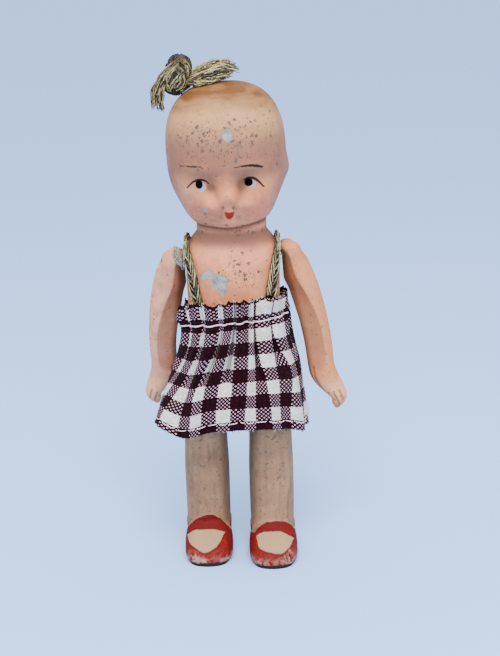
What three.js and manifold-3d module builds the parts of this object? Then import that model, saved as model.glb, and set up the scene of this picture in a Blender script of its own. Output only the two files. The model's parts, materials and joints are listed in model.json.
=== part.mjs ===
// A standing doll of painted bisque, about 114 mm tall, with strung arms and legs, a gathered
// check skirt on two braided straps and a knotted bow of the same braid on its crown.
// Millimetres, +Z up. The doll faces -Y and its left side is +X. It stands on Z = 0, and the
// origin is the middle of its bounding box on the floor.
import * as THREE from "three";
import { mergeVertices } from "three/addons/utils/BufferGeometryUtils.js";
import Module from "manifold-3d";

const wasm = await Module();
wasm.setup();

// Heights, each from the one below it
const hipHeight = 41;
const torsoHeight = 33.4;
const neckHeight = 6.2;
const headHeight = 33.7;

// Head
const headWidth = 27.4;
const faceDepth = 12.4;
const napeDepth = 13;
const headTilt = 2.4;
const noseSize = 1.9;
const earSize = 0.9;

// Torso, one casting with the head
const neckWidth = 16.2;
const neckDepth = 13;
const shoulderWidth = 22;
const chestDepth = 15.6;
const bellyDepth = 17.4;
const hipWidth = 22.6;
const wall = 2.2;

// Arms
const armWidth = 6.4;
const armDepth = 6.6;
const armLength = 39.6;
const leftSlack = 0.5;
const rightSlack = 1.2;
const leftSplay = 3.5;
const rightSplay = -3.5;
const rightSwing = 15;
const rightDrop = 1.2;

// Legs
const legWidth = 10.3;
const legDepth = 10.8;
const legGap = 5.4;
const footLength = 17.2;
const footWidth = 11.2;
const footHeight = 9.6;
const leftStep = 2;
const rightStep = -1;

// Strings
const stringDiameter = 1.4;
const knotDiameter = 2.6;

// Skirt
const clothThickness = 0.7;
const skirtLength = 26.2;
const headingHeight = 4.3;
const hemWidth = 36.4;
const hemDepth = 27.6;
const waistEase = 0.5;
const foldDepth = 0.9;
const folds = 9;
const waistTilt = 5;
const hemTilt = 1.5;
const cornerFlare = 1.8;
const threadDiameter = 0.5;

// Straps and bow
const strapWidth = 3.2;
const strapThickness = 1.1;
const knotWidth = 6.6;
const knotHeight = 10.4;
const leftTailLength = 8.6;
const leftTailWidth = 3.2;
const rightTailLength = 9.4;
const rightTailWidth = 4.6;

// Clearances
const gap = 0.35;
const runningGap = 0.5;

const half = 0.5;
const front = -1;
const deg = Math.PI / 180;
const shoulderHeight = hipHeight + torsoHeight;
const chinHeight = shoulderHeight + neckHeight;
const headWidest = chinHeight + headHeight * 0.546;
const crownHeight = chinHeight + headHeight;
const waistHeight = hipHeight + torsoHeight * 0.55;
const hemHeight = waistHeight - skirtLength;
const hipRadius = legDepth * half;
const legCentre = (legGap + legWidth) * half;
const tongueHalf = legGap * half - gap;
const boreRadius = stringDiameter * half + gap;
const pitRadius = knotDiameter * half + gap;
const knotPit = armWidth * 0.27;
const legPitDepth = knotDiameter + gap;

const bisque = { color: 0xd8b09c, roughness: 0.6, metalness: 0 };
const cotton = { color: 0x7c3a44, roughness: 0.95, metalness: 0 };
const pinkThread = { color: 0xe6ccd0, roughness: 0.9, metalness: 0 };
const braid = { color: 0x8d8266, roughness: 0.9, metalness: 0 };
const elastic = { color: 0xe9e6da, roughness: 0.9, metalness: 0 };

// A smooth curve through [place, value] stations that never overshoots between them.
function through(stations) {
  const slopes = stations.map(([place, value], i) => {
    const before = stations[i - 1];
    const after = stations[i + 1];
    if (!before || !after) return 0;
    const a = (value - before[1]) / (place - before[0]);
    const b = (after[1] - value) / (after[0] - place);
    return a * b > 0 ? (2 * a * b) / (a + b) : 0;
  });
  return (place) => {
    const last = stations.length - 1;
    if (place <= stations[0][0]) return stations[0][1];
    if (place >= stations[last][0]) return stations[last][1];
    const i = stations.findIndex((s) => s[0] > place) - 1;
    const step = stations[i + 1][0] - stations[i][0];
    const t = (place - stations[i][0]) / step;
    const rise = (1 + 2 * t) * (1 - t) ** 2 * stations[i][1] + t * t * (3 - 2 * t) * stations[i + 1][1];
    return rise + step * t * (1 - t) * ((1 - t) * slopes[i] - t * slopes[i + 1]);
  };
}

// One coordinate of a rounded square: exponent 2 is a circle, larger is squarer.
const squared = (value, exponent) => Math.sign(value) * Math.abs(value) ** (2 / exponent);

const hump = (value, centre, spread) => Math.exp(-(((value - centre) / spread) ** 2));

function spaced(count, from, to) {
  return Array.from({ length: count + 1 }, (_, i) => from + ((to - from) * i) / count);
}

const ring = (sides, place) => Array.from({ length: sides }, (_, i) => place((2 * Math.PI * i) / sides));

// A closed surface through rings of points. Its ends are fans, or it runs round into itself.
function loft(rings, runsRound = false) {
  const sides = rings[0].length;
  const points = rings.flat();
  const faces = [];
  const bands = runsRound ? rings.length : rings.length - 1;
  for (let r = 0; r < bands; r++) {
    for (let s = 0; s < sides; s++) {
      const a = r * sides + s;
      const b = r * sides + ((s + 1) % sides);
      const c = ((r + 1) % rings.length) * sides + s;
      const d = ((r + 1) % rings.length) * sides + ((s + 1) % sides);
      faces.push(a, b, d, a, d, c);
    }
  }
  if (!runsRound) {
    for (const end of [0, rings.length - 1]) {
      const middle = new THREE.Vector3();
      rings[end].forEach((p) => middle.addScaledVector(p, 1 / sides));
      points.push(middle);
      for (let s = 0; s < sides; s++) {
        const a = end * sides + s;
        const b = end * sides + ((s + 1) % sides);
        if (end === 0) faces.push(points.length - 1, b, a);
        else faces.push(points.length - 1, a, b);
      }
    }
  }
  const geometry = new THREE.BufferGeometry().setFromPoints(points);
  geometry.setIndex(faces);
  return outward(geometry);
}

// Turns a closed surface right side out.
function outward(geometry) {
  const at = geometry.getAttribute("position");
  const index = geometry.index.array;
  const corner = [new THREE.Vector3(), new THREE.Vector3(), new THREE.Vector3()];
  let volume = 0;
  for (let i = 0; i < index.length; i += 3) {
    corner.forEach((c, k) => c.fromBufferAttribute(at, index[i + k]));
    volume += corner[0].dot(corner[1].clone().cross(corner[2]));
  }
  if (volume < 0) geometry.setIndex(Array.from(index).reverse());
  return geometry;
}

function toSolid(geometry) {
  const bare = new THREE.BufferGeometry();
  bare.setAttribute("position", geometry.getAttribute("position"));
  bare.setIndex(geometry.index);
  const merged = mergeVertices(bare, 1e-4);
  const vertProperties = new Float32Array(merged.getAttribute("position").array);
  const triVerts = new Uint32Array(merged.index.array);
  return new wasm.Manifold(new wasm.Mesh({ numProp: 3, vertProperties, triVerts }));
}

function toGeometry(solid) {
  const mesh = solid.getMesh();
  const geometry = new THREE.BufferGeometry();
  geometry.setAttribute("position", new THREE.BufferAttribute(mesh.vertProperties, 3));
  geometry.setIndex(new THREE.BufferAttribute(mesh.triVerts, 1));
  return geometry;
}

function named(name, geometry, look) {
  const mesh = new THREE.Mesh(geometry, new THREE.MeshStandardMaterial(look));
  mesh.name = name;
  return mesh;
}

// A box between two corners.
function block(low, high) {
  const size = high.clone().sub(low);
  const middle = low.clone().add(high).multiplyScalar(half);
  return new THREE.BoxGeometry(size.x, size.y, size.z).translate(middle.x, middle.y, middle.z);
}

// A round rod along X between two places on a line through `centre`.
function rodAlongX(radius, from, to, centre) {
  const rod = new THREE.CylinderGeometry(radius, radius, to - from, 24).rotateZ(90 * deg);
  return rod.translate((from + to) * half + centre.x, centre.y, centre.z);
}

// An oval ring of points about a place on a tube or ribbon.
function oval(sides, middle, across, width, rise, depth) {
  return ring(sides, (turn) => {
    const p = middle.clone().addScaledVector(across, width * Math.cos(turn));
    return p.addScaledVector(rise, depth * Math.sin(turn));
  });
}

// Head: an egg whose upper half is round and lower half squarer, with the features raised in front.
function headPoint(azimuth, elevation, inset) {
  const up = elevation > 0;
  const jawSquare = 2.6;
  const rise = up ? Math.sin(elevation) : squared(Math.sin(elevation), jawSquare);
  const reach = up ? Math.cos(elevation) : squared(Math.cos(elevation), jawSquare);
  const tall = (up ? crownHeight - headWidest : headWidest - chinHeight) - inset;
  const cx = squared(Math.cos(azimuth), 2.2);
  const cy = squared(Math.sin(azimuth), 2.2);
  const deep = (cy < 0 ? faceDepth : napeDepth) - inset;
  const p = new THREE.Vector3((headWidth * half - inset) * reach * cx, deep * reach * cy, tall * rise);
  if (inset === 0) {
    const facing = Math.max(0, -cy) ** 0.5 * reach;
    p.y += front * facing * faceRelief(Math.abs(p.x), p.z + headWidest - chinHeight);
    p.x += Math.sign(cx) * earSize * hump(p.y, 1.5, 2.2) * hump(p.z, -6, 3.2);
  }
  return p;
}

// How far the face stands out: nose, cheeks, mouth and chin, less the eye hollows.
function faceRelief(x, aboveChin) {
  const nose = noseSize * hump(x, 0, 1.7) * hump(aboveChin, 10.1, 1.9);
  const cheek = 0.8 * hump(x, 5.6, 3.2) * hump(aboveChin, 6.4, 2.9);
  const eye = -0.6 * hump(x, 5.4, 2.5) * hump(aboveChin, 12.4, 1.8);
  const mouth = 0.45 * hump(x, 0, 2) * hump(aboveChin, 5.6, 1.5);
  const chin = 0.7 * hump(x, 0, 2.8) * hump(aboveChin, 2.2, 1.7);
  return nose + cheek + eye + mouth + chin;
}

function onHead(p) {
  p.applyAxisAngle(new THREE.Vector3(0, 1, 0), -headTilt * deg);
  return p.add(new THREE.Vector3(-(headWidest - chinHeight) * Math.sin(headTilt * deg), 0, headWidest));
}

function headShape(inset, rows, sides) {
  const limit = 90 - 60 / rows;
  const rings = spaced(rows, -limit, limit).map((elevation) =>
    ring(sides, (azimuth) => onHead(headPoint(azimuth, elevation * deg, inset)))
  );
  return loft(rings);
}

// Torso: half-width and half-depths at each height, from the crotch to inside the head.
const crotch = hipHeight - hipRadius;
const onTrunk = (share) => hipHeight + torsoHeight * share;
const onNeck = (share) => shoulderHeight + neckHeight * share;
const torsoTop = chinHeight + headHeight * 0.09;
const torsoHalf = through([
  [crotch, hipWidth * 0.3], [hipHeight, hipWidth * 0.45], [onTrunk(0.27), hipWidth * half],
  [onTrunk(0.55), shoulderWidth * 0.49], [shoulderHeight, shoulderWidth * half],
  [onNeck(0.35), shoulderWidth * 0.48], [onNeck(0.7), (shoulderWidth + neckWidth) * 0.245],
  [chinHeight, neckWidth * half], [torsoTop, neckWidth * half],
]);
const torsoFront = through([
  [crotch, bellyDepth * 0.22], [hipHeight, bellyDepth * 0.4], [onTrunk(0.33), bellyDepth * 0.52],
  [onTrunk(0.64), chestDepth * 0.52], [onTrunk(0.91), chestDepth * half], [onNeck(half), chestDepth * 0.44],
  [chinHeight, neckDepth * half],
]);
const torsoBack = through([
  [crotch, bellyDepth * 0.22], [onTrunk(0.12), bellyDepth * 0.48], [onTrunk(0.55), chestDepth * 0.45],
  [onTrunk(0.91), chestDepth * half], [onNeck(half), chestDepth * 0.45], [chinHeight, neckDepth * half],
]);
const torsoSquare = 2.5;

function torsoShape(inset, floor, rows, sides) {
  const rings = spaced(rows, floor, torsoTop).map((z) =>
    ring(sides, (turn) => {
      const cx = squared(Math.cos(turn), torsoSquare);
      const cy = squared(Math.sin(turn), torsoSquare);
      const deep = cy < 0 ? torsoFront(z) : torsoBack(z);
      return new THREE.Vector3((torsoHalf(z) - inset) * cx, (deep - inset) * cy, z);
    })
  );
  return loft(rings);
}

// The hip cut: room for one leg's rounded top, below it, and in front of it for sitting.
function hipCut(side) {
  const room = hipRadius + runningGap;
  const inner = side > 0 ? tongueHalf : -hipWidth;
  const outer = side > 0 ? hipWidth : -tongueHalf;
  const deep = bellyDepth;
  const axle = rodAlongX(room, inner, outer, new THREE.Vector3(0, 0, hipHeight));
  const below = block(new THREE.Vector3(inner, -deep, 0), new THREE.Vector3(outer, deep, hipHeight));
  const ahead = block(new THREE.Vector3(inner, -deep, 0), new THREE.Vector3(outer, 0, hipHeight + room));
  return toSolid(axle).add(toSolid(below)).add(toSolid(ahead));
}

function headAndTorso() {
  const cavityFloor = hipHeight + hipRadius + runningGap + wall;
  const skin = toSolid(headShape(0, 24, 36)).add(toSolid(torsoShape(0, crotch, 16, 28)));
  const cavity = toSolid(headShape(wall, 10, 16)).add(toSolid(torsoShape(wall, cavityFloor, 10, 16)));
  const shoulderHoleRadius = boreRadius + rightDrop;
  const shoulders = new THREE.Vector3(0, 0, shoulderHeight);
  const armHole = rodAlongX(shoulderHoleRadius, -shoulderWidth, shoulderWidth, shoulders);
  const legHole = rodAlongX(boreRadius, -legGap, legGap, new THREE.Vector3(0, 0, hipHeight));
  const holes = toSolid(armHole).add(toSolid(legHole));
  const cuts = cavity.add(holes).add(hipCut(1)).add(hipCut(-1));
  return named("head_and_torso", toGeometry(skin.subtract(cuts)), bisque);
}

// Where each arm hangs: the middle of its flat shoulder face, and the line of its string bore.
function shoulder(side) {
  const left = side > 0;
  const slack = left ? leftSlack : rightSlack;
  const drop = left ? 0 : rightDrop;
  const pose = new THREE.Matrix4().makeRotationY(-side * (left ? leftSplay : rightSplay) * deg);
  if (!left) pose.premultiply(new THREE.Matrix4().makeRotationX(rightSwing * deg));
  pose.setPosition(side * (shoulderWidth * half + slack), 0, shoulderHeight - drop);
  return pose;
}

// Arm, drawn with its shoulder face on x = 0 and its bore on the X axis. Down is -Z.
const armOuter = through([
  [-1, 0.84], [-0.97, 0.95], [-0.92, 1.02], [-0.86, 0.98], [-0.78, 0.88], [-0.7, 0.82],
  [-0.62, 0.815], [-0.5, 0.79], [-0.36, 0.73], [-0.23, 0.65], [-0.1, 0.53], [0, 0.4],
  [0.045, 0.31], [0.075, 0.19],
]);
const armInner = through([
  [-1, 0.79], [-0.93, 0.755], [-0.887, 0.6], [-0.83, 0.43], [-0.76, 0.34], [-0.56, 0.285],
  [-0.44, 0.235], [-0.33, 0.16], [-0.23, 0.08], [-0.14, -0.02], [0.05, -0.05], [0.075, 0.02],
]);
const armThick = through([
  [-1, 0.1], [-0.97, 0.24], [-0.9, 0.32], [-0.8, 0.36], [-0.74, 0.38], [-0.5, 0.47], [-0.2, 0.52], [0, 0.5],
  [0.05, 0.36], [0.075, 0.16],
]);

function armBore() {
  const far = armWidth * 2;
  const axis = new THREE.Vector3();
  const bore = rodAlongX(boreRadius, -far, far, axis);
  const pit = rodAlongX(pitRadius, knotPit, far, axis);
  return toSolid(bore).add(toSolid(pit));
}

// An arm's reach outward is drawn in shares of this length.
const armReach = armWidth * 1.97;

function arm(name, side) {
  const levels = [...spaced(16, -1, -0.06), 0, 0.035, 0.06, 0.075];
  const rings = levels.map((level) => {
    const inner = armInner(level) * armReach;
    const outer = armOuter(level) * armReach;
    return ring(18, (turn) => {
      const x = (inner + outer) * half + (outer - inner) * half * squared(Math.cos(turn), 1.9);
      const y = armDepth * armThick(level) * squared(Math.sin(turn), 1.9);
      return new THREE.Vector3(x, y, armLength * level);
    });
  });
  const low = new THREE.Vector3(-armReach, -armDepth, -armLength);
  const faceCut = block(low, new THREE.Vector3(0, armDepth, armReach));
  const geometry = toGeometry(toSolid(loft(rings)).subtract(toSolid(faceCut)).subtract(armBore()));
  if (side < 0) geometry.rotateZ(180 * deg);
  geometry.applyMatrix4(shoulder(side));
  return named(name, geometry, bisque);
}

// Legs. The foot stays flat on the floor when the leg is stepped forward.
const legHalfWidth = through([[0, 0.48], [0.25, 0.49], [half, 0.5], [1, 0.5]]);
const legHalfDepth = through([[0, 0.42], [0.2, 0.42], [half, 0.48], [1, 0.5]]);
const footHalf = through([
  [-1, 0.1], [-0.97, 0.25], [-0.88, 0.4], [-0.7, 0.49], [-0.45, 0.5], [0, 0.43], [0.2, 0.38],
  [0.28, 0.27], [0.31, 0.1],
]);
const footTop = through([
  [-1, 0.22], [-0.95, 0.36], [-0.8, 0.52], [-0.5, 0.7], [-0.25, 0.92], [0, 1], [0.2, 0.95], [0.31, 0.55],
]);

function legColumn(centre, lean) {
  const square = 2.3;
  const shank = [0.05, 0.15, 0.25, 0.4, 0.6, 0.8, 1].map((share) =>
    ring(22, (turn) => {
      const x = centre + legWidth * legHalfWidth(share) * squared(Math.cos(turn), square);
      const y = legDepth * legHalfDepth(share) * squared(Math.sin(turn), square);
      return new THREE.Vector3(x, y - hipHeight * (1 - share) * lean, hipHeight * share);
    })
  );
  const dome = spaced(5, 14, 84).map((rise) =>
    ring(22, (turn) => {
      const reach = Math.cos(rise * deg);
      const x = centre + legWidth * half * reach * squared(Math.cos(turn), square);
      const y = hipRadius * reach * squared(Math.sin(turn), square);
      return new THREE.Vector3(x, y, hipHeight + hipRadius * Math.sin(rise * deg));
    })
  );
  return loft([...shank, ...dome]);
}

function footShape(centre, lean) {
  const square = 2.4;
  const toHeel = 0.31;
  const under = footHeight * 0.1;
  const rings = [...spaced(12, -1, 0.24), 0.28, toHeel].map((share) =>
    ring(22, (turn) => {
      const tall = footHeight * footTop(share) + under;
      const x = centre + footWidth * footHalf(share) * squared(Math.cos(turn), square);
      const z = tall * half - under + tall * half * squared(Math.sin(turn), square);
      return new THREE.Vector3(x, (footLength * share) / (1 + toHeel) - hipHeight * lean, z);
    })
  );
  return loft(rings);
}

function leg(name, side, step) {
  const centre = side * legCentre;
  const lean = Math.tan(step * deg);
  const far = hipHeight * 2;
  const inside = legGap * half;
  const outside = inside + legWidth;
  const axis = new THREE.Vector3(0, 0, hipHeight);
  const floor = block(new THREE.Vector3(-far, -far, -far), new THREE.Vector3(far, far, 0));
  const bore = rodAlongX(boreRadius, -far, far, axis);
  const pits = rodAlongX(pitRadius, -far, -outside + legPitDepth, axis);
  const pit = side < 0 ? pits : rodAlongX(pitRadius, outside - legPitDepth, far, axis);
  const solid = toSolid(legColumn(centre, lean)).add(toSolid(footShape(centre, lean)));
  const cuts = toSolid(floor).add(toSolid(bore)).add(toSolid(pit));
  return named(name, toGeometry(solid.subtract(cuts)), bisque);
}

// A string through bores, with a round knot at each end.
function string(name, points) {
  const path = new THREE.CatmullRomCurve3(points, false, "centripetal");
  const knotShare = knotDiameter / path.getLength();
  const swell = through([[0, 0.2], [0.2, 0.8], [half, 1], [0.8, 0.8], [1, stringDiameter / knotDiameter]]);
  const inKnot = [0, 0.12, 0.3, half, 0.7, 0.88];
  const fromEnd = [...inKnot.map((s) => s * knotShare), ...spaced(6, knotShare, half)];
  const places = [...fromEnd, ...fromEnd.slice(0, -1).reverse().map((s) => 1 - s)];
  const up = new THREE.Vector3(0, 0, 1);
  const rings = places.map((place) => {
    const p = path.getPointAt(place);
    const along = path.getTangentAt(place);
    const across = new THREE.Vector3().crossVectors(along, up).normalize();
    const rise = new THREE.Vector3().crossVectors(across, along).normalize();
    const radius = knotDiameter * half * swell(Math.min(place, 1 - place) / knotShare);
    return oval(10, p, across, radius, rise, radius);
  });
  return named(name, loft(rings), elastic);
}

function armElastic() {
  const end = knotPit + gap + knotDiameter;
  const at = (side, out) => new THREE.Vector3(side * out, 0, 0).applyMatrix4(shoulder(side));
  const inside = shoulderWidth * half - wall;
  const chest = (side, drop) => new THREE.Vector3(side * inside, 0, shoulderHeight - drop);
  const leftEnd = [at(1, end), at(1, knotPit), at(1, 0)];
  const rightEnd = [at(-1, 0), at(-1, knotPit), at(-1, end)];
  return string("arm_elastic", [...leftEnd, chest(1, 0), chest(-1, rightDrop * half), ...rightEnd]);
}

function legElastic() {
  const end = legGap * half + legWidth - legPitDepth + gap + knotDiameter;
  return string("leg_elastic", [-end, -end / 3, end / 3, end].map((x) => new THREE.Vector3(x, 0, hipHeight)));
}

// Skirt: a gathered strip. `drop` runs from 0 at the heading's top edge to 1 at the hem.
const stitchDrop = 0.14;
const waistHalf = torsoHalf(waistHeight) + 2 * gap + clothThickness + waistEase;
const waistDeep = torsoFront(waistHeight) + 3 * gap + strapThickness + clothThickness;
const skirtHalf = through([[0, waistHalf * 1.03], [stitchDrop, waistHalf], [1, hemWidth * half]]);
const skirtDeep = through([[0, waistDeep * 1.03], [stitchDrop, waistDeep], [1, hemDepth * half]]);

function skirtPoint(turn, drop, inset) {
  const square = 2.4;
  const below = Math.max(0, (drop - stitchDrop) / (1 - stitchDrop));
  const wave = Math.cos(folds * turn + 0.8 * Math.sin(2 * turn + 1));
  const flare = cornerFlare * below ** 3 * hump(turn, 202 * deg, 22 * deg);
  const spread = foldDepth * (0.3 + 0.7 * below) * wave + flare - inset;
  const x = (skirtHalf(drop) + spread) * squared(Math.cos(turn), square);
  const y = (skirtDeep(drop) + spread) * squared(Math.sin(turn), square);
  const waistZ = waistHeight + x * Math.tan(waistTilt * deg) - y * 0.1;
  const hemZ = hemHeight + x * Math.tan(hemTilt * deg) + flare;
  const heading = headingHeight * Math.max(0, 1 - drop / stitchDrop);
  const z = waistZ + (hemZ - waistZ) * below + heading;
  return new THREE.Vector3(besideArm(x, y, z, inset), y, z);
}

// The cloth gives way where an arm hangs against it.
function besideArm(x, y, z, inset) {
  const side = Math.sign(x);
  const pose = shoulder(side);
  const pivot = new THREE.Vector3().setFromMatrixPosition(pose);
  const level = (z - pivot.z) / armLength;
  const inner = new THREE.Vector3(side * armInner(level) * armReach, 0, armLength * level).applyMatrix4(pose);
  const beside = hump((y - inner.y) ** 2, 0, (armDepth * 0.75) ** 2);
  const limit = Math.abs(inner.x) - 2 * gap - threadDiameter - inset;
  return x - side * beside * Math.max(0, Math.abs(x) - limit);
}

const skirtSides = 64;

function skirt() {
  const drops = [0, 0.07, stitchDrop, 0.32, half, 0.68, 0.84, 1];
  const outer = drops.map((drop) => ring(skirtSides, (turn) => skirtPoint(turn, drop, 0)));
  const inner = drops.map((drop) => ring(skirtSides, (turn) => skirtPoint(turn, drop, clothThickness)));
  return named("skirt", loft([...outer, ...inner.reverse()], true), cotton);
}

// A thread lying round the outside of the skirt.
function skirtThread(name, drop) {
  const radius = threadDiameter * half;
  const stand = gap + radius;
  const rings = ring(skirtSides, (turn) => {
    const p = skirtPoint(turn, drop, -stand);
    const out = p.clone().sub(skirtPoint(turn, drop, 0)).normalize();
    const ahead = skirtPoint(turn + 0.01, drop, -stand);
    const along = ahead.sub(skirtPoint(turn - 0.01, drop, -stand)).normalize();
    const rise = new THREE.Vector3().crossVectors(along, out).normalize();
    out.crossVectors(rise, along);
    return oval(5, p, out, radius, rise, radius);
  });
  return named(name, loft(rings, true), pinkThread);
}

// A point on the torso at a height and a sideways place, on its front or its back, and its normal.
function onTorso(x, z, face) {
  const deep = (height) => (face < 0 ? torsoFront(height) : torsoBack(height));
  const power = (value) => Math.abs(value) ** torsoSquare;
  const level = (at) => power(at.x / torsoHalf(at.z)) + power(at.y / deep(at.z));
  const room = Math.max(0, 1 - Math.abs(x / torsoHalf(z)) ** torsoSquare);
  const p = new THREE.Vector3(x, face * deep(z) * room ** (1 / torsoSquare), z);
  const nudge = 0.05;
  const change = (axis) => {
    const ahead = p.clone();
    const behind = p.clone();
    ahead[axis] += nudge;
    behind[axis] -= nudge;
    return level(ahead) - level(behind);
  };
  return { p, normal: new THREE.Vector3(change("x"), change("y"), change("z")).normalize() };
}

// A strap from inside the skirt's heading in front, over the shoulder, to the heading behind.
function strap(name, side) {
  const low = waistHeight + headingHeight * 0.4;
  const top = onNeck(0.62);
  const wide = shoulderWidth * half;
  const frontPlace = through([[low, wide * 0.62], [onTrunk(0.84), wide * 0.74], [top, torsoHalf(top)]]);
  const backPlace = through([[low, wide * 0.66], [onTrunk(0.84), wide * 0.76], [top, torsoHalf(top)]]);
  const rows = 10;
  const climb = spaced(rows, 0, 1).map((t) => low + (top - low) * Math.sin((t * Math.PI) / 2));
  const stand = gap + strapThickness * half;
  const spots = [];
  climb.forEach((z) => spots.push(onTorso(side * frontPlace(z), z, -1)));
  climb.reverse().slice(1).forEach((z) => spots.push(onTorso(side * backPlace(z), z, 1)));
  const path = spots.map(({ p, normal }) => p.clone().addScaledVector(normal, stand));
  const across = path.map((p, i) => {
    const next = path[Math.min(i + 1, path.length - 1)];
    const before = path[Math.max(i - 1, 0)];
    return new THREE.Vector3().crossVectors(next.clone().sub(before), spots[i].normal).normalize();
  });
  const slim = through([[low, 1], [shoulderHeight, 0.8], [top, 0.6]]);
  const rings = path.map((p, i) => {
    const width = strapWidth * half * slim(p.z);
    return oval(10, p, across[i], width, spots[i].normal, strapThickness * half);
  });
  return named(name, loft(rings), braid);
}

// Bow: a knot sitting on the crown's right side with a tail each way.
const bowSeat = 124 * deg;
const knotLean = 22 * deg;

// A place above the crown, `lift` away from it, on the line over the head from ear to ear.
function crown(angle, lift) {
  const up = angle < 90 * deg ? angle : 180 * deg - angle;
  const p = headPoint(angle < 90 * deg ? 0 : Math.PI, up, 0);
  const normal = new THREE.Vector3(p.x / headWidth ** 2, 0, p.z / (2 * (crownHeight - headWidest)) ** 2);
  return onHead(p.addScaledVector(normal.normalize(), lift));
}

// The leaning knot's middle stands off the crown by its own half-size in that direction.
function knotPlace() {
  const seat = crown(bowSeat, 0);
  const out = crown(bowSeat, 1).sub(seat);
  const slant = knotLean - Math.atan2(out.x, out.z);
  const reach = Math.hypot(knotHeight * half * Math.cos(slant), knotWidth * half * Math.sin(slant));
  return seat.addScaledVector(out, reach + gap);
}

const bowCentre = knotPlace();

function bowKnot() {
  const rings = spaced(8, -80, 80).map((rise) =>
    ring(14, (turn) => {
      const reach = Math.cos(rise * deg) * knotWidth * half;
      const p = new THREE.Vector3(reach * Math.cos(turn), reach * Math.sin(turn), 0);
      p.z = knotHeight * half * Math.sin(rise * deg);
      return p.applyAxisAngle(new THREE.Vector3(0, 1, 0), knotLean).add(bowCentre);
    })
  );
  return named("hair_bow_knot", loft(rings), braid);
}

// A frayed tail along a path, thin where it leaves the knot and full beyond.
function tail(name, points, width) {
  const path = new THREE.CatmullRomCurve3(points);
  const thick = through([[0, 0.45], [0.3, 0.9], [0.65, 1], [0.9, 0.7], [1, 0.35]]);
  const across = new THREE.Vector3(0, 1, 0);
  const rings = spaced(10, 0, 1).map((t) => {
    const p = path.getPointAt(t);
    const rise = new THREE.Vector3().crossVectors(across, path.getTangentAt(t)).normalize();
    const radius = width * half * thick(t);
    return oval(10, p, across, radius, rise, radius);
  });
  return named(name, loft(rings), braid);
}

function leftTail() {
  const away = new THREE.Vector3(-knotWidth * 0.57 - gap, -knotWidth * 0.25, knotHeight * 0.05);
  const start = bowCentre.clone().add(away);
  const bend = start.clone().add(new THREE.Vector3(-leftTailWidth * 0.3, 0, -leftTailLength * 0.3));
  const end = start.clone().add(new THREE.Vector3(-leftTailWidth * 0.25, 0, -leftTailLength));
  return tail("hair_bow_left_tail", [start, bend, end], leftTailWidth);
}

function rightTail() {
  const start = bowCentre.clone().add(new THREE.Vector3(knotWidth * 0.63 + gap, 0, 0));
  const top = crown(90 * deg, 0).x;
  const above = (along) => {
    const across = (start.x + rightTailLength * along - top) / (headWidth * half);
    return crown(Math.acos(across), rightTailWidth * half + gap);
  };
  return tail("hair_bow_right_tail", [start, above(0.35), above(0.65), above(1)], rightTailWidth);
}

const doll = new THREE.Group();
doll.name = "bisque_doll";
doll.add(headAndTorso());
doll.add(arm("left_arm", 1));
doll.add(arm("right_arm", -1));
doll.add(leg("left_leg", 1, leftStep));
doll.add(leg("right_leg", -1, rightStep));
doll.add(armElastic());
doll.add(legElastic());
doll.add(skirt());
doll.add(skirtThread("waist_thread", stitchDrop));
doll.add(skirtThread("hem_thread", 0.93));
doll.add(strap("left_strap", 1));
doll.add(strap("right_strap", -1));
doll.add(bowKnot());
doll.add(leftTail());
doll.add(rightTail());

// The middle of the bounding box goes on the origin.
const box = new THREE.Box3().setFromObject(doll);
const centre = box.getCenter(new THREE.Vector3());
doll.position.set(-centre.x, -centre.y, 0);

export default doll;
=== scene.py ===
# A strung bisque doll, 114 mm tall to the crown, in a gathered check skirt on two braided straps,
# with a knotted bow of the same braid. Shapes are worked out in millimetres about the doll's own
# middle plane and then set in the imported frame, in metres. The doll faces -Y.
import json
import bmesh
import bpy
import numpy as np
from mathutils import Matrix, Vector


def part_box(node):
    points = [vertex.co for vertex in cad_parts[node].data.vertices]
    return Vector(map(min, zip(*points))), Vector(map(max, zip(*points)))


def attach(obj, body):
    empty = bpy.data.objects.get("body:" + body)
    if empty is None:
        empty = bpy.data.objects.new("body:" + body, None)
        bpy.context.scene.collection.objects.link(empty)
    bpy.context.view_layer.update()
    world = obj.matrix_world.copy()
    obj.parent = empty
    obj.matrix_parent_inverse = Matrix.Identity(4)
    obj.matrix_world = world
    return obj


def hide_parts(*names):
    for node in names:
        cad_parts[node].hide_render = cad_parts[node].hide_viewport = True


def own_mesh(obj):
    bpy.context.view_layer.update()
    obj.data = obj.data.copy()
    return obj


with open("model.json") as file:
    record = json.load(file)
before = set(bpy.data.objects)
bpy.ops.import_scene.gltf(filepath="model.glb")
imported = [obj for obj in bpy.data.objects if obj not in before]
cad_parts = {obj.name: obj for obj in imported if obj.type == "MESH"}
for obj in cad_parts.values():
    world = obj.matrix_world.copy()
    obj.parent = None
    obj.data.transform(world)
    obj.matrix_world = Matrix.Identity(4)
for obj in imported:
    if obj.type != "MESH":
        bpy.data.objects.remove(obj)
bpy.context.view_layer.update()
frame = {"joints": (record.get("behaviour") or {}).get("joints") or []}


# Head and torso
# One hollow casting of unglazed bisque, poured in a two-part mould with head, neck and body in one.
# It is cold painted in flesh tint, with sprayed hair and cheeks and a face lined in by brush. The
# paint has flaked to the grey body on the brow, one cheek and the chest.
MM = 0.001
DEG = np.pi / 180


def pivot(joint):
    """A joint's place in the frame, in millimetres."""
    return np.array(next(j["pos_m"] for j in frame["joints"] if j["name"] == joint)) / MM


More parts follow.
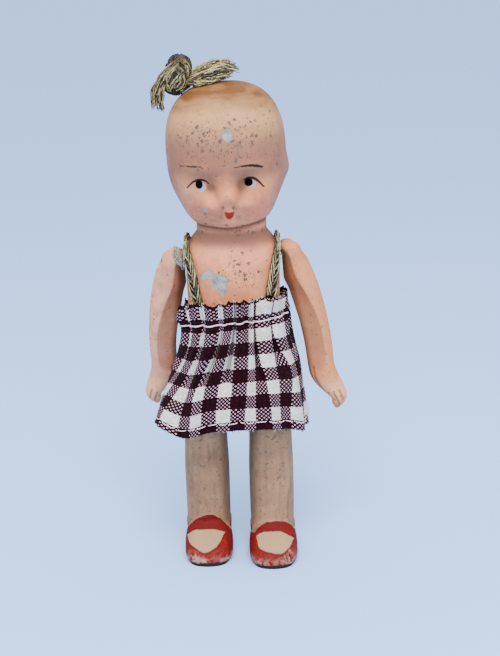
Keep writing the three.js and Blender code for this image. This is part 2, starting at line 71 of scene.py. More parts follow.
# The doll's middle in the frame, and the heights of its landmarks.
MIDDLE = (pivot("left_hip") + pivot("right_hip")) / 2
HIP = MIDDLE[2]
SHOULDER = pivot("left_shoulder")[2]
CHIN = SHOULDER + 6.2
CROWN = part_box("head_and_torso")[1].z / MM
WIDEST = CHIN + (CROWN - CHIN) * 0.546
TO_FRAME = np.array([MIDDLE[0], MIDDLE[1], 0])
wall = 2.2
clearance = 0.35
string_half = 0.7
knot_half = 1.3
string_bore = string_half + clearance
knot_bore = knot_half + clearance
leg_inner = 2.7
head_half = 13.7
face_deep = 12.4
nape_deep = 13
head_tilt = 2.4
# How square the head is in each direction: 2 is a circle and more is squarer.
dome_full = 2.55
dome_deep_full = 2.25
jaw_full = 2.6
level_full = 2.2


def through(stations):
    """A smooth curve through (place, value) stations that never overshoots: cubic pieces whose slope
    at a station is the harmonic mean of the slopes on its two sides."""
    place, value = np.array(stations, float).T
    slope = np.diff(value) / np.diff(place)
    product = slope[:-1] * slope[1:]
    total = np.where(product > 0, slope[:-1] + slope[1:], 1)
    slopes = np.concatenate([[0], np.where(product > 0, 2 * product / total, 0), [0]])

    def curve(at):
        at = np.clip(at, place[0], place[-1])
        i = np.clip(np.searchsorted(place, at, "right") - 1, 0, len(place) - 2)
        step = place[i + 1] - place[i]
        t = (at - place[i]) / step
        rise = (1 + 2 * t) * (1 - t) ** 2 * value[i] + t * t * (3 - 2 * t) * value[i + 1]
        return rise + step * t * (1 - t) * ((1 - t) * slopes[i] - t * slopes[i + 1])

    return curve


def rounded(value, exponent):
    """One coordinate of a rounded square: exponent 2 is a circle, larger is squarer."""
    return np.sign(value) * np.abs(value) ** (2 / exponent)


def hump(value, centre, spread):
    """A bell, 1 at its centre."""
    return np.exp(-(((value - centre) / spread) ** 2))


def ramp(value, low, high):
    """0 below low, 1 above high, and smooth between."""
    t = np.clip((value - low) / (high - low), 0, 1)
    return t * t * (3 - 2 * t)


def crowded(low, high, count, centre, spread, gain):
    """Places from low to high that lie closer together near a centre."""
    fine = np.linspace(low, high, 4000)
    share = np.cumsum(1 + gain * hump(fine, centre, spread))
    return np.interp(np.linspace(share[0], share[-1], count), share, fine)


def turned(points, axis, angle):
    """Points turned about an axis through the origin by an angle in degrees: the part along the axis
    stays, and the rest turns in its own plane."""
    axis = np.array(axis, float)
    c, s = np.cos(angle * DEG), np.sin(angle * DEG)
    return points * c + np.cross(axis, points) * s + axis * (points @ axis)[..., None] * (1 - c)


def new_object(name, points, faces):
    """A smooth-shaded mesh object from points in millimetres and faces as lists of point numbers."""
    mesh = bpy.data.meshes.new(name)
    mesh.from_pydata(((points + TO_FRAME) * MM).tolist(), [], faces)
    mesh.polygons.foreach_set("use_smooth", np.ones(len(faces), bool))
    obj = bpy.data.objects.new(name, mesh)
    bpy.context.scene.collection.objects.link(obj)
    return obj


def loft(name, rings):
    """A closed mesh over rings of points, shaped (rows, sides, 3) or (pieces, rows, sides, 3): quads
    from ring to ring and a flat end on the first and last. It is turned right side out by the sign of
    its volume."""
    rings = np.asarray(rings, float)
    pieces = rings if rings.ndim == 4 else rings[None]
    count, rows, sides = pieces.shape[:3]
    first = np.arange(count)[:, None, None] * rows * sides
    row = np.arange(rows - 1)[None, :, None]
    side = np.arange(sides)[None, None, :]
    corners = [(row, side), (row, side + 1), (row + 1, side + 1), (row + 1, side)]
    quads = np.stack([first + r * sides + s % sides for r, s in corners], -1).reshape(-1, 4)
    points = pieces.reshape(-1, 3)
    a, b, c, d = (points[quads[: len(quads) // count, k]] - points[0] for k in range(4))
    volume = np.sum(a * np.cross(b, c)) + np.sum(a * np.cross(c, d))
    end = first[:, 0] + np.arange(sides)[None, :]
    faces = quads.tolist() + end[:, ::-1].tolist() + (end + (rows - 1) * sides).tolist()
    if volume < 0:
        faces = [face[::-1] for face in faces]
    return new_object(name, points, faces)


def once_round(count):
    """Even turns once round, in radians."""
    return np.linspace(0, 2 * np.pi, count, endpoint=False)


def rod_along_x(radius, low, high, y, z, sides=64):
    """A round rod along X between two places."""
    angle = once_round(sides)
    ring = np.stack([0 * angle, y + radius * np.cos(angle), z + radius * np.sin(angle)], -1)
    return loft("tool", np.stack([ring + (x, 0, 0) for x in (low, high)]))


def block(low, high):
    """A box between two corners."""
    corners = [(low[0], low[1]), (high[0], low[1]), (high[0], high[1]), (low[0], high[1])]
    return loft("tool", [[(x, y, z) for x, y in corners] for z in (low[2], high[2])])


def bake_modifiers(obj):
    """Replaces an object's mesh by what its modifiers make of it."""
    bpy.context.view_layer.update()
    shaped = obj.evaluated_get(bpy.context.evaluated_depsgraph_get())
    mesh = bpy.data.meshes.new_from_object(shaped)
    obj.modifiers.clear()
    obj.data = mesh


def combine(obj, operation, *tools):
    """Adds solids to an object, or takes them away."""
    for tool in tools:
        change = obj.modifiers.new("combine", "BOOLEAN")
        change.operation = operation
        change.solver = "MANIFOLD"
        change.object = tool
    bake_modifiers(obj)
    for tool in tools:
        bpy.data.objects.remove(tool)


def points_of(obj):
    """An object's points in millimetres about the doll's middle plane."""
    flat = np.empty(len(obj.data.vertices) * 3, np.float32)
    obj.data.vertices.foreach_get("co", flat)
    return flat.reshape(-1, 3).astype(float) / MM - TO_FRAME


def crease(obj, angle):
    """Marks edges sharper than an angle as hard, smooths the rest, and returns the hard edges' middles."""
    work = bmesh.new()
    work.from_mesh(obj.data)
    hard = []
    for edge in work.edges:
        edge.smooth = edge.calc_face_angle(0) < angle * DEG
        if not edge.smooth:
            hard.append((edge.verts[0].co + edge.verts[1].co) / 2)
    for face in work.faces:
        face.smooth = True
    work.to_mesh(obj.data)
    work.free()
    return np.array(hard) / MM - TO_FRAME


def mark(obj, name, values):
    """Keeps one number for each point, for the material to read."""
    values = np.broadcast_to(values, len(obj.data.vertices)).astype(np.float32)
    obj.data.attributes.new(name, "FLOAT", "POINT").data.foreach_set("value", values)


def soft_spots(across, up, *spots):
    """A sum of bells, each with its height, its place and spread across, and its place and spread up."""
    return sum(high * hump(across, at, wide) * hump(up, level, tall) for high, at, wide, level, tall in spots)


# The face's small forms: how far each stands out, its place and spread beside the middle, and its place
# and spread above the chin.
face_forms = [
    (0.5, 0, 1.3, 9.3, 1.3),  # tip of the nose
    (0.3, 1.6, 0.7, 8.6, 0.9),  # nostrils
    (-0.35, 2.9, 0.8, 9.4, 1.6),  # creases beside the nose
    (0.4, 0, 1.3, 13, 2),  # bridge
    (1.5, 4.6, 2.8, 7.2, 2.3),  # cheeks
    (0.4, 6, 3, 5, 2.5),  # jowls
    (-1.3, 4.5, 2.7, 12.4, 1.8),  # eye hollows
    (0.45, 5.7, 1.5, 12.2, 0.9),  # eyeballs
    (0.3, 5.5, 3.4, 15.8, 1.1),  # brow ridges
    (0.5, 0, 2, 5.6, 1.5),  # mouth
    (0.22, 0, 1, 5.9, 0.35),  # upper lip
    (0.22, 0, 1, 4.7, 0.5),  # lower lip
    (-0.25, 0, 1.5, 3.8, 0.6),  # dip under the lip
    (0.9, 0, 2.8, 2.2, 1.7),  # chin
]


def head_surface(azimuth, elevation, inset=0):
    """An egg: the upper half a full dome and the lower half a squarer jaw, drawn in a little at the sides.
    The face in front adds a bell for the nose, with a longer slope below it, and the small forms; the
    left ear is a bell at its side. The whole leans to the doll's right about the chin."""
    up = elevation > 0
    full = np.where(up, dome_full, jaw_full)
    rise, reach = rounded(np.sin(elevation), full), rounded(np.cos(elevation), full)
    deep = np.where(up, rounded(np.cos(elevation), dome_deep_full), reach)
    tall = np.where(up, CROWN - WIDEST, WIDEST - CHIN) - inset
    cx, cy = rounded(np.cos(azimuth), level_full), rounded(np.sin(azimuth), level_full)
    x = (head_half - inset) * reach * cx
    y = (np.where(cy < 0, face_deep, nape_deep) - inset) * deep * cy
    z = tall * rise
    if inset == 0:
        beside, above = np.abs(x), z + WIDEST - CHIN
        nose = 1.4 * hump(beside, 0, 2) * hump(above, 9.9, np.where(above < 9.9, 3.4, 2.4))
        relief = nose + soft_spots(beside, above, *face_forms)
        y = y - np.sqrt(np.maximum(0, -cy)) * reach * relief
        x = x + np.where(cx > 0, 0.8, -0.1) * hump(y, 1.5, 2.2) * hump(z, -5.2, 2.8)
        x = x * (1 - 0.06 * hump(z, -12, 4.2))
    leaning = turned(np.stack([x, y, z], -1), (0, 1, 0), -head_tilt)
    return leaning + (-(WIDEST - CHIN) * np.sin(head_tilt * DEG), 0, WIDEST)


hip_dome = 5.4
CROTCH = HIP - hip_dome
TRUNK = SHOULDER - HIP
torso_top = CHIN + 3
torso_full = 2.5
torso_half = through([
    (CROTCH, 6.8), (HIP, 10.2), (HIP + TRUNK * 0.27, 11.3), (HIP + TRUNK * 0.55, 10.8), (SHOULDER, 11),
    (SHOULDER + 2.2, 10.6), (SHOULDER + 4.3, 9.4), (CHIN, 8.1), (torso_top, 8.1),
])
torso_front = through([
    (CROTCH, 3.8), (HIP, 7), (HIP + TRUNK * 0.33, 9), (HIP + TRUNK * 0.64, 8.1), (HIP + TRUNK * 0.91, 7.8),
    (SHOULDER + 3.1, 6.9), (CHIN, 6.5),
])
torso_back = through([
    (CROTCH, 3.8), (HIP + TRUNK * 0.12, 8.4), (HIP + TRUNK * 0.55, 7), (HIP + TRUNK * 0.91, 7.8),
    (SHOULDER + 3.1, 7), (CHIN, 6.5),
])


def torso_surface(turn, z, inset=0):
    """A rounded oblong at each height, with its own half-width and its own depth in front and behind."""
    cx, cy = rounded(np.cos(turn), torso_full), rounded(np.sin(turn), torso_full)
    deep = np.where(cy < 0, torso_front(z), torso_back(z))
    return np.stack([(torso_half(z) - inset) * cx, (deep - inset) * cy, z], -1)


def spread_over(surface, first, second, *more):
    """A surface's points over a grid of its two parameters, with the first running round each ring."""
    down, along = np.meshgrid(second, first, indexing="ij")
    return surface(along, down, *more)


whole_turn = once_round(180)
face_turn = crowded(-270 * DEG, 90 * DEG, 261, -90 * DEG, 48 * DEG, 3)[:-1]
face_rise = crowded(-89.6 * DEG, 89.6 * DEG, 190, -22 * DEG, 22 * DEG, 3)
head = loft("head_and_torso_fine", spread_over(head_surface, face_turn, face_rise))
torso_rows = np.linspace(CROTCH, torso_top, 120)
combine(head, "UNION", loft("torso", spread_over(torso_surface, whole_turn, torso_rows)))
# The hollow, the holes for the strings, and room at each side of the tongue for a leg's round top and
# its swing forward. The cutting tools run well past the casting.
hip_room = hip_dome + 0.5
tongue_half = leg_inner - clearance
hollow = loft("tool", spread_over(head_surface, whole_turn[::5], np.linspace(-86, 86, 24) * DEG, wall))
chest_rows = np.linspace(HIP + hip_room + wall, torso_top, 24)
combine(hollow, "UNION", loft("tool", spread_over(torso_surface, whole_turn[::5], chest_rows, wall)))
tools = [hollow, rod_along_x(knot_bore, -22, 22, 0, SHOULDER), rod_along_x(string_bore, -5.4, 5.4, 0, HIP)]
for inner, outer in ((tongue_half, 23), (-23, -tongue_half)):
    tools.append(rod_along_x(hip_room, inner, outer, 0, HIP, 96))
    tools.append(block((inner, -18, 0), (outer, 18, HIP)))
    tools.append(block((inner, -18, 0), (outer, 0, HIP + hip_room)))
combine(head, "DIFFERENCE", *tools)
hard_edges = crease(head, 38)


def stroke(x, z, line, widths):
    """How far inside a brush stroke each place is: its half-width less its distance from a smooth line
    through (x, z) points."""
    line = np.array(line, float)
    along = np.arange(len(line))
    fine = np.linspace(0, len(line) - 1, 60)
    lx = through(np.stack([along, line[:, 0]], -1))(fine)
    lz = through(np.stack([along, line[:, 1]], -1))(fine)
    half = np.interp(fine, np.linspace(0, len(line) - 1, len(widths)), widths)
    return np.max(half - np.hypot(x[:, None] - lx, z[:, None] - lz), axis=1)


def ovals(x, z, *each):
    """How far inside any of some leaning ovals each place is, in millimetres along the short way. An oval
    is given by its centre, its two half-widths and its lean in degrees."""
    reach = []
    for centre, half, lean in each:
        c, s = np.cos(lean * DEG), np.sin(lean * DEG)
        dx, dz = x - centre[0], z - centre[1]
        reach.append((1 - np.hypot((dx * c + dz * s) / half[0], (dz * c - dx * s) / half[1])) * min(half))
    return np.max(reach, axis=0)


# What a painted mark's number is well away from the mark.
FAR = -9.0
skin = points_of(head)
x, y, z = skin.T
near_face = (y < -3) & (z > 82)
fx, fz = x[near_face], z[near_face]


def on_face(values):
    """Spreads values worked out for the face over all the casting's points."""
    whole = np.full(len(skin), FAR)
    whole[near_face] = values
    return whole


ink = np.max([
    stroke(fx, fz, [(-9.6, 91.9), (-7.95, 93.5), (-6.63, 93.95), (-5.49, 93.7), (-4.7, 93)],
           (0.14, 0.28, 0.26, 0.14)),
    stroke(fx, fz, [(3.1, 93.7), (4.12, 94.15), (4.97, 94.08), (6.11, 93.45), (7.6, 91.8)],
           (0.14, 0.26, 0.34, 0.16)),
], axis=0)
brow = np.max([
    stroke(fx, fz, [(-11, 96.7), (-9.94, 96.95), (-8.21, 96.84), (-6.77, 97.05), (-5.9, 96.65)],
           (0.1, 0.19, 0.13)),
    stroke(fx, fz, [(1.1, 96.7), (2.79, 96.93), (4.49, 97), (6.18, 96.78), (7.3, 96.4)],
           (0.12, 0.24, 0.32, 0.24)),
], axis=0)
pupil = ovals(fx, fz, ((-6.82, 92.85), (0.84, 1.02), 0), ((4.2, 93.1), (0.98, 0.95), 0))
white = ovals(fx, fz, ((-6.3, 92.26), (0.96, 0.94), 0), ((4.85, 92.7), (0.95, 0.82), 0))
nostril = ovals(fx, fz, ((-1.67, 87.75), (0.24, 0.3), 0), ((0.67, 87.55), (0.26, 0.32), 0))
down_lip = np.clip((86.5 - fz) / 1.95, 0, 1)
lip_top = 86.58 - 0.16 * hump(fx, -0.28, 0.3)
lip_half = 1.1 * (1 - 0.22 * down_lip) * np.sqrt(1 - down_lip ** 3)
lip = np.minimum(np.minimum(lip_half - np.abs(fx + 0.28 + 0.05 * down_lip), lip_top - fz), fz - 84.5)
for name, values in (("ink", ink), ("brow", brow), ("pupil", pupil), ("white", white), ("nostril", nostril),
                     ("lip", lip)):
    mark(head, name, on_face(values))
chip = ovals(
    x, z, ((-0.21, 103.8), (1.1, 1.4), 0), ((-5.75, 87.03), (0.62, 0.6), 0), ((-6.15, 71.1), (1.7, 0.85), 32),
    ((-2.9, 70), (1.55, 1.35), 0), ((-3.9, 69), (1.35, 0.95), 0), ((-2.4, 68), (0.95, 1.7), 0),
    ((-4.7, 70.2), (1.1, 0.7), 0),
)
mark(head, "chip", np.where(y < -3, chip, FAR))
# Grime and painted shade darken the crease between neck and jaw, by the distance from its hard edges.
neck_edges = hard_edges[(hard_edges[:, 2] > 77) & (hard_edges[:, 2] < 84)]
at_neck = (z > 76) & (z < 86)
near_neck = skin[at_neck]
squares = np.sum(near_neck ** 2, 1)[:, None] + np.sum(neck_edges ** 2, 1) - 2 * near_neck @ neck_edges.T
to_crease = np.full(len(skin), -FAR)
to_crease[at_neck] = np.sqrt(np.maximum(0, squares.min(axis=1)))
mark(head, "crease", to_crease)
blush = soft_spots(x, z, (1, -6.2, 3.4, 87.6, 2.7), (1, 5.4, 3.4, 87.3, 2.7),
                   (0.8, -0.3, 2, 89.2, 1.8), (0.35, -0.3, 3, 83, 1.6))
mark(head, "blush", np.clip(np.where(y < 0, blush, 0), 0, 1))
# Painted shade beside the bridge, down the nose, in the eye hollows, at the nostrils and at the corners of
# the mouth, with a little more under the chin.
sockets = soft_spots(
    x, z, (1, -4.1, 1.6, 92.1, 1.4), (1, 2.5, 1.5, 92.6, 1.8), (0.3, -3, 0.9, 90.2, 1.5),
    (0.3, 2.2, 0.9, 90.2, 1.5), (0.4, -6.6, 2.4, 93.2, 2.3), (0.4, 4.6, 2.4, 93.2, 2.3),
    (0.55, -1.8, 0.6, 87.4, 0.9), (0.55, 0.8, 0.6, 87.5, 0.8), (0.45, -2.1, 0.5, 85.4, 0.9),
    (0.45, 1.6, 0.5, 85.2, 0.8),
)
under_chin = ramp(z, 76.2, 79) * (1 - ramp(z, 80, 82))
mark(head, "hollow_shade", np.clip(np.where(y < -3, sockets, 0) + 0.45 * under_chin, 0, 1))
# Painted shade at the head's sides and under the chin, and a band across the brow darkened with both grime
# and painted shade.
brow_band = ramp(z, 91.5, 96) * (1 - ramp(z, 102, 109.5)) * ramp(-y, -2, 7)
sides = ramp(np.abs(x + 0.8), 8.5, 13) * ramp(z, 82, 86)
mark(head, "grime_and_shade", np.clip(np.maximum(np.maximum(brow_band, 0.8 * sides), under_chin), 0, 1))
mark(head, "cream", ramp(z, 99, 109))
# Painted highlights on the high points: the upper chest, the nose, the chin and the cheeks.
painted_highlight = hump(z, 75, 2.6) + soft_spots(
    x, z, (1, -0.6, 1.8, 90.6, 1.6), (0.9, -0.3, 2.6, 83, 1.2), (0.7, -4.2, 1.9, 88.7, 1.2),
    (0.7, 3.6, 1.9, 88.7, 1.2))
mark(head, "painted_highlight", np.clip(np.where(y < -3, painted_highlight, 0), 0, 1))
hairline = 110.4 - 0.012 * (x + 1) ** 2 - 9 * ramp(y, 0, 11)
mark(head, "hair", ramp(z - hairline, -3.2, 2.8))
specks = 0.004 + 0.35 * hump(z, 81.5, 1.3) + soft_spots(
    x, z, (0.75, -1.5, 9, 102.4, 4.2), (0.7, 1.6, 3.6, 71.6, 3.4), (0.4, -7, 2.5, 86.3, 1.3))
mark(head, "specks", np.clip(specks, 0, 1))


def linear(code):
    """A screen colour such as "d8b09c" as the linear colour that a shader takes."""
    screen = np.array([int(code[i:i + 2], 16) for i in (0, 2, 4)]) / 255
    light = np.where(screen <= 0.04045, screen / 12.92, ((screen + 0.055) / 1.055) ** 2.4)
    return (*light.tolist(), 1.0)


def add(tree, kind, sockets=(), out=0, **settings):
    """Adds a node with its settings, gives each named or numbered input a value or a link, and returns
    one of its outputs."""
    node = tree.nodes.new("ShaderNode" + kind)
    for key, value in settings.items():
        setattr(node, key, value)
    for key, value in dict(sockets).items():
        if isinstance(value, bpy.types.NodeSocket):
            tree.links.new(value, node.inputs[key])
        else:
            node.inputs[key].default_value = value
    return node.outputs[out]


def new_material(name, roughness, specular, *objects):
    """A material for some objects, with its constant finish set on the shader; returns its node tree."""
    material = bpy.data.materials.new(name)
    material.use_nodes = True
    shader = material.node_tree.nodes["Principled BSDF"]
    shader.inputs["Roughness"].default_value = roughness
    shader.inputs["Specular IOR Level"].default_value = specular
    for obj in objects:
        obj.data.materials.clear()
        obj.data.materials.append(material)
    return material.node_tree


def plug(tree, **links):
    """Links outputs to the shader's inputs, with underscores for the spaces in their names."""
    for name, output in links.items():
        tree.links.new(output, tree.nodes["Principled BSDF"].inputs[name.replace("_", " ")])


def millimetres(tree, stretch=(1, 1, 1)):
    """The place on the piece in millimetres, stretched along an axis if asked."""
    place = add(tree, "TexCoord", out=3)
    scale = tuple(s / MM for s in stretch)
    return add(tree, "VectorMath", {0: place, 1: scale}, operation="MULTIPLY")


def coats(tree, ground, *layers):
    """Coats of paint over a ground: each layer's colour lies over the last as far as its cover goes. A
    colour is a screen code or what a node gives."""

    def paint(colour):
        return linear(colour) if isinstance(colour, str) else colour

    for colour, cover in layers:
        ground = add(tree, "Mix", {0: cover, 6: paint(ground), 7: paint(colour)}, out=2, data_type="RGBA")
    return ground


def cover_by(tree, name, low=0.0, high=1.0, most=1.0, ragged=None, rough=0.0):
    """Cover from a number kept on the piece's points: none at low, the most at high, and with an edge made
    ragged by a pattern."""
    value = add(tree, "Attribute", out=2, attribute_name=name)
    if ragged is not None:
        stray = add(tree, "MapRange", {0: ragged, 3: -rough, 4: rough})
        value = add(tree, "Math", {0: value, 1: stray}, operation="ADD")
    return add(tree, "MapRange", {0: value, 1: low, 2: high, 4: most})


def patchy(tree, place, per_mm, low, high, least=0.0, most=1.0, detail=2.0, rough=0.5):
    """Cover in soft patches: a noise with so many waves a millimetre, least at low and most at high."""
    noise = add(tree, "TexNoise", {"Vector": place, "Scale": per_mm, "Detail": detail, "Roughness": rough})
    return add(tree, "MapRange", {0: noise, 1: low, 2: high, 3: least, 4: most})


def speckle(tree, place, per_mm, size, amount):
    """Cover for scattered specks: cells with a dot at their middles, kept where a cell's own chance is
    less than the amount."""
    from_middle = add(tree, "TexVoronoi", {"Vector": place, "Scale": per_mm})
    dot = add(tree, "MapRange", {0: from_middle, 1: size, 2: size * 0.7})
    own_chance = add(tree, "SeparateXYZ", {0: from_middle.node.outputs["Color"]})
    kept = add(tree, "Math", {0: own_chance, 1: amount}, operation="LESS_THAN")
    return add(tree, "Math", {0: dot, 1: kept}, operation="MULTIPLY")


def blotches(tree, place, per_mm, amount):
    """Cover for ragged little blotches: where a rough noise stands high, the higher the fewer."""
    rough = add(tree, "TexNoise", {"Vector": place, "Scale": per_mm, "Detail": 5, "Roughness": 0.6})
    lifted = add(tree, "Math", {0: amount, 1: 0.13, 2: rough}, operation="MULTIPLY_ADD")
    return add(tree, "MapRange", {0: lifted, 1: 0.64, 2: 0.68, 4: 0.7})


def small_rubs(tree, place, low, high, least=0.0, most=1.0):
    """Cover in the small ragged patches where paint rubs off first."""
    return patchy(tree, place, 0.75, low, high, least, most, 6, 0.65)


def smudges(tree, place):
    """Cover for soft brown smudges of handling."""
    return patchy(tree, place, 0.5, 0.48, 0.74, 0, 0.34, 6, 0.7)


def flesh_tint(tree, place, light, dark, pale):
    """Cold-painted flesh: two close tints in soft clouds, worn paler in small patches."""
    return coats(tree, light, (dark, patchy(tree, place, 0.16, 0.35, 0.65, detail=3)),
                 (pale, small_rubs(tree, place, 0.54, 0.74, 0, 0.4)))


def bisque_grain(tree, place, height):
    """The fine grain of unglazed bisque under thin paint: two scales of noise, a few hundredths deep."""
    fine = add(tree, "TexNoise", {"Vector": place, "Scale": 3.2, "Detail": 5, "Roughness": 0.7})
    broad = add(tree, "TexNoise", {"Vector": place, "Scale": 0.45, "Detail": 2})
    grain = add(tree, "Bump", {"Strength": 0.5, "Distance": 0.06 * MM, "Height": fine})
    return add(tree, "Bump", {"Strength": 0.4, "Distance": height * MM, "Height": broad, "Normal": grain})


# Gives the eye flesh tint going cream on the brow and orange at the crown, pink cheeks and the inked face,
# with painted highlights on the nose, cheeks, chin and upper chest, painted shade at the sides, in the
# hollows and under the chin, grime and painted shade across the brow and in the neck crease, and bare grey
# bisque where it has flaked.
tree = new_material("cold-painted bisque, head and torso", 0.6, 0.1, head)
place = millimetres(tree)
fine_noise = add(tree, "TexNoise", {"Vector": place, "Scale": 2.4, "Detail": 4})
brushed = patchy(tree, millimetres(tree, (0.25, 0.25, 1.2)), 0.5, 0.35, 0.65, 0.78, 1.3, 5)
hair = add(tree, "Math", {0: cover_by(tree, "hair"), 1: brushed}, operation="MULTIPLY")
amount = add(tree, "Attribute", out=2, attribute_name="specks")
stray = add(tree, "TexNoise", {"Vector": place, "Scale": 2, "Detail": 3}, out=1)
stray = add(tree, "VectorMath", {0: stray, 1: (1.3, 1.3, 1.3), 2: place}, operation="MULTIPLY_ADD")
flake = cover_by(tree, "chip", -0.08, 0.08, 1, fine_noise, 0.75)
iris = cover_by(tree, "pupil", -0.1, 0.1)
colour = coats(
    tree, flesh_tint(tree, place, "ce8459", "bb714d", "d6a27a"),
    ("734d3c", cover_by(tree, "grime_and_shade", most=0.8)),
    ("ac8557", cover_by(tree, "cream", most=0.8)),
    ("c25f44", cover_by(tree, "blush", most=0.5)),
    ("dd8a60", cover_by(tree, "painted_highlight", most=0.6)),
    ("3b2a24", cover_by(tree, "hollow_shade", most=0.85)),
    ("5d4336", smudges(tree, place)),
    ("58310e", add(tree, "MapRange", {0: hair, 1: 0.05, 2: 1.1, 4: 0.92})),
    ("3d2720", cover_by(tree, "crease", 1.2, 0, 0.9)),
    ("644d42", blotches(tree, stray, 0.8, amount)),
    ("5a463c", speckle(tree, stray, 0.85, 0.42, amount)),
    ("46322b", speckle(tree, stray, 1.7, 0.34, amount)),
    ("7f675a", cover_by(tree, "chip", -0.25, 0.25, 1, fine_noise, 0.9)),
    (coats(tree, "92908a", ("676460", small_rubs(tree, place, 0.42, 0.68))), flake),
    ("878b93", cover_by(tree, "white", -0.2, 0.2)),
    ("060505", iris),
    ("1a0f0d", cover_by(tree, "ink", -0.08, 0.08, 1, fine_noise, 0.06)),
    ("22130f", cover_by(tree, "brow", -0.08, 0.08, 1, fine_noise, 0.18)),
    ("6b3a2f", cover_by(tree, "nostril", -0.14, 0.14)),
    ("8e1c14", cover_by(tree, "lip", -0.14, 0.14, 1, fine_noise, 0.12)),
)
flaked = add(tree, "Bump", {"Strength": 0.7, "Distance": 0.12 * MM, "Height": flake,
                            "Normal": bisque_grain(tree, place, 0.12)}, invert=True)
shine = add(tree, "MapRange", {0: iris, 3: 0.14, 4: 0})
plug(tree, Base_Color=colour, Normal=flaked, Specular_IOR_Level=shine)
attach(head, "body")
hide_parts("head_and_torso")


# Arms
# Two bisque mitten arms, each poured in its own mould: bent at the elbow, planed flat on the inner
# front, with thumb and fingers only grooved. One elastic runs through both and through the shoulders.
arm_reach = 12.6
arm_deep = 6.6
arm_length = 39.6
arm_full = 1.9
arm_pit = 1.73
groove_deep = 0.28
arm_splay = 3.5
right_arm_back = 15
arm_outer = through([
    (-1, 0.87), (-0.97, 0.96), (-0.92, 1.02), (-0.86, 0.98), (-0.78, 0.88), (-0.7, 0.82), (-0.62, 0.815),
    (-0.5, 0.79), (-0.36, 0.73), (-0.23, 0.65), (-0.1, 0.53), (0, 0.4), (0.045, 0.31), (0.075, 0.19),
])
arm_inner = through([
    (-1, 0.77), (-0.97, 0.73), (-0.945, 0.725), (-0.915, 0.66), (-0.887, 0.58), (-0.83, 0.43), (-0.76, 0.34),
    (-0.56, 0.285), (-0.44, 0.235), (-0.33, 0.16), (-0.23, 0.08), (-0.14, -0.02), (0.05, -0.05),
    (0.075, 0.02),
])
arm_thick = through([
    (-1, 0.1), (-0.97, 0.24), (-0.9, 0.32), (-0.8, 0.36), (-0.74, 0.38), (-0.5, 0.47), (-0.2, 0.52), (0, 0.5),
    (0.05, 0.36), (0.075, 0.16),
])
hand_grooves = [
    [(5.2, -28.4), (5.5, -31), (6.6, -33.6), (8.5, -36.6)],
    [(9.7, -35.6), (10.3, -37.2), (10.9, -38.8)],
    [(11, -34.8), (11.5, -36.2), (11.8, -37.4)],
]


def arm_surface(turn, level, full, depth_only=False):
    """A rounded section between the arm's inner and outer outline at each level, fuller inside near the
    shoulder. Its inner front is planed: what stands beyond a slanting plane is drawn back to it, which
    leaves a ridge down the arm. It gives the points, or how deep the plane cuts at each."""
    inner = arm_inner(level) * arm_reach - full * ramp(level, -0.62, -0.3)
    outer = arm_outer(level) * arm_reach
    u, v = rounded(np.cos(turn), arm_full), rounded(np.sin(turn), arm_full)
    facing = (212 + 38 * ramp(-level, 0.05, 0.5)) * DEG
    over = u * np.cos(facing) + v * np.sin(facing) - 0.7
    cut = (over + np.sqrt(over ** 2 + 0.003)) / 2 * ramp(level, -0.78, -0.6) * (1 - ramp(level, -0.02, 0.05))
    if depth_only:
        return cut
    u, v = u - cut * np.cos(facing), v - cut * np.sin(facing)
    x = (inner + outer) / 2 + (outer - inner) / 2 * u
    return np.stack([x, arm_deep * arm_thick(level) * v, arm_length * level], -1)


def set_points(obj, points):
    """Moves an object's points."""
    flat = ((points + TO_FRAME) * MM).astype(np.float32).ravel()
    obj.data.vertices.foreach_set("co", flat)
    obj.data.update()


def in_grooves(shape):
    """How far inside the nearest groove of the hand each point is."""
    return np.max([stroke(shape[:, 0], shape[:, 2], line, (0.1, 0.12, 0.1)) for line in hand_grooves], axis=0)


def carved_arm(name, full):
    """An arm with its flat shoulder face, string bore and knot pit, drawn about its shoulder."""
    levels = crowded(-1, 0.075, 170, -0.86, 0.12, 1.5)
    ring_turn = once_round(96)
    arm = loft(name, spread_over(arm_surface, ring_turn, levels, full))
    # How deep the plane cuts: the material lays painted shade on the planed side.
    mark(arm, "planed", spread_over(arm_surface, ring_turn, levels, full, True).ravel())
    # Painted shade down the inner side of the arm above the hand.
    arm_inner_shade = ramp(-np.cos(ring_turn), 0.6, 0.97) * ramp(levels, -0.97, -0.8)[:, None]
    mark(arm, "inside", arm_inner_shade.ravel())
    shape = points_of(arm)
    cut = groove_deep * ramp(in_grooves(shape), -0.32, 0.1) * (np.abs(shape[:, 1]) > 0.4)
    shape[:, 1] -= np.sign(shape[:, 1]) * cut
    set_points(arm, shape)
    face = block((-14, -8, -42), (-full, 8, 10))
    bores = rod_along_x(string_bore, -13, 13, 0, 0), rod_along_x(knot_bore, arm_pit, 14, 0, 0)
    combine(arm, "DIFFERENCE", face, *bores)
    crease(arm, 38)
    return arm


def hang(points, side):
    """An arm's points in its place: the doll's right arm is the mirror image, swung a little back."""
    seat = pivot("left_shoulder" if side > 0 else "right_shoulder") - TO_FRAME
    hung = turned(points * (side, 1, 1), (0, 1, 0), -arm_splay)
    return seat + (hung if side > 0 else turned(hung, (1, 0, 0), right_arm_back))


arms = []
for side, name, full in ((1, "left_arm", 0.05), (-1, "right_arm", 0.65)):
    arm = carved_arm(name + "_fine", full)
    shape = points_of(arm)
    level = shape[:, 2] / arm_length
    # The grooves are darkened with painted shade and soil.
    mark(arm, "groove", in_grooves(shape))
    mark(arm, "tan", 1 if side > 0 else 0)
    # A painted highlight at the wrist and hand.
    mark(arm, "painted_highlight", hump(level, -0.88, 0.07))
    mark(arm, "soil", 0.8 * ramp(-level, 0.93, 1.01) + 0.5 * (1 - ramp(np.abs(level), 0.0, 0.1)))
    set_points(arm, hang(shape, side))
    if side < 0:
        arm.data.flip_normals()
    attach(arm, name)
    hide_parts(name)
    arms.append(arm)
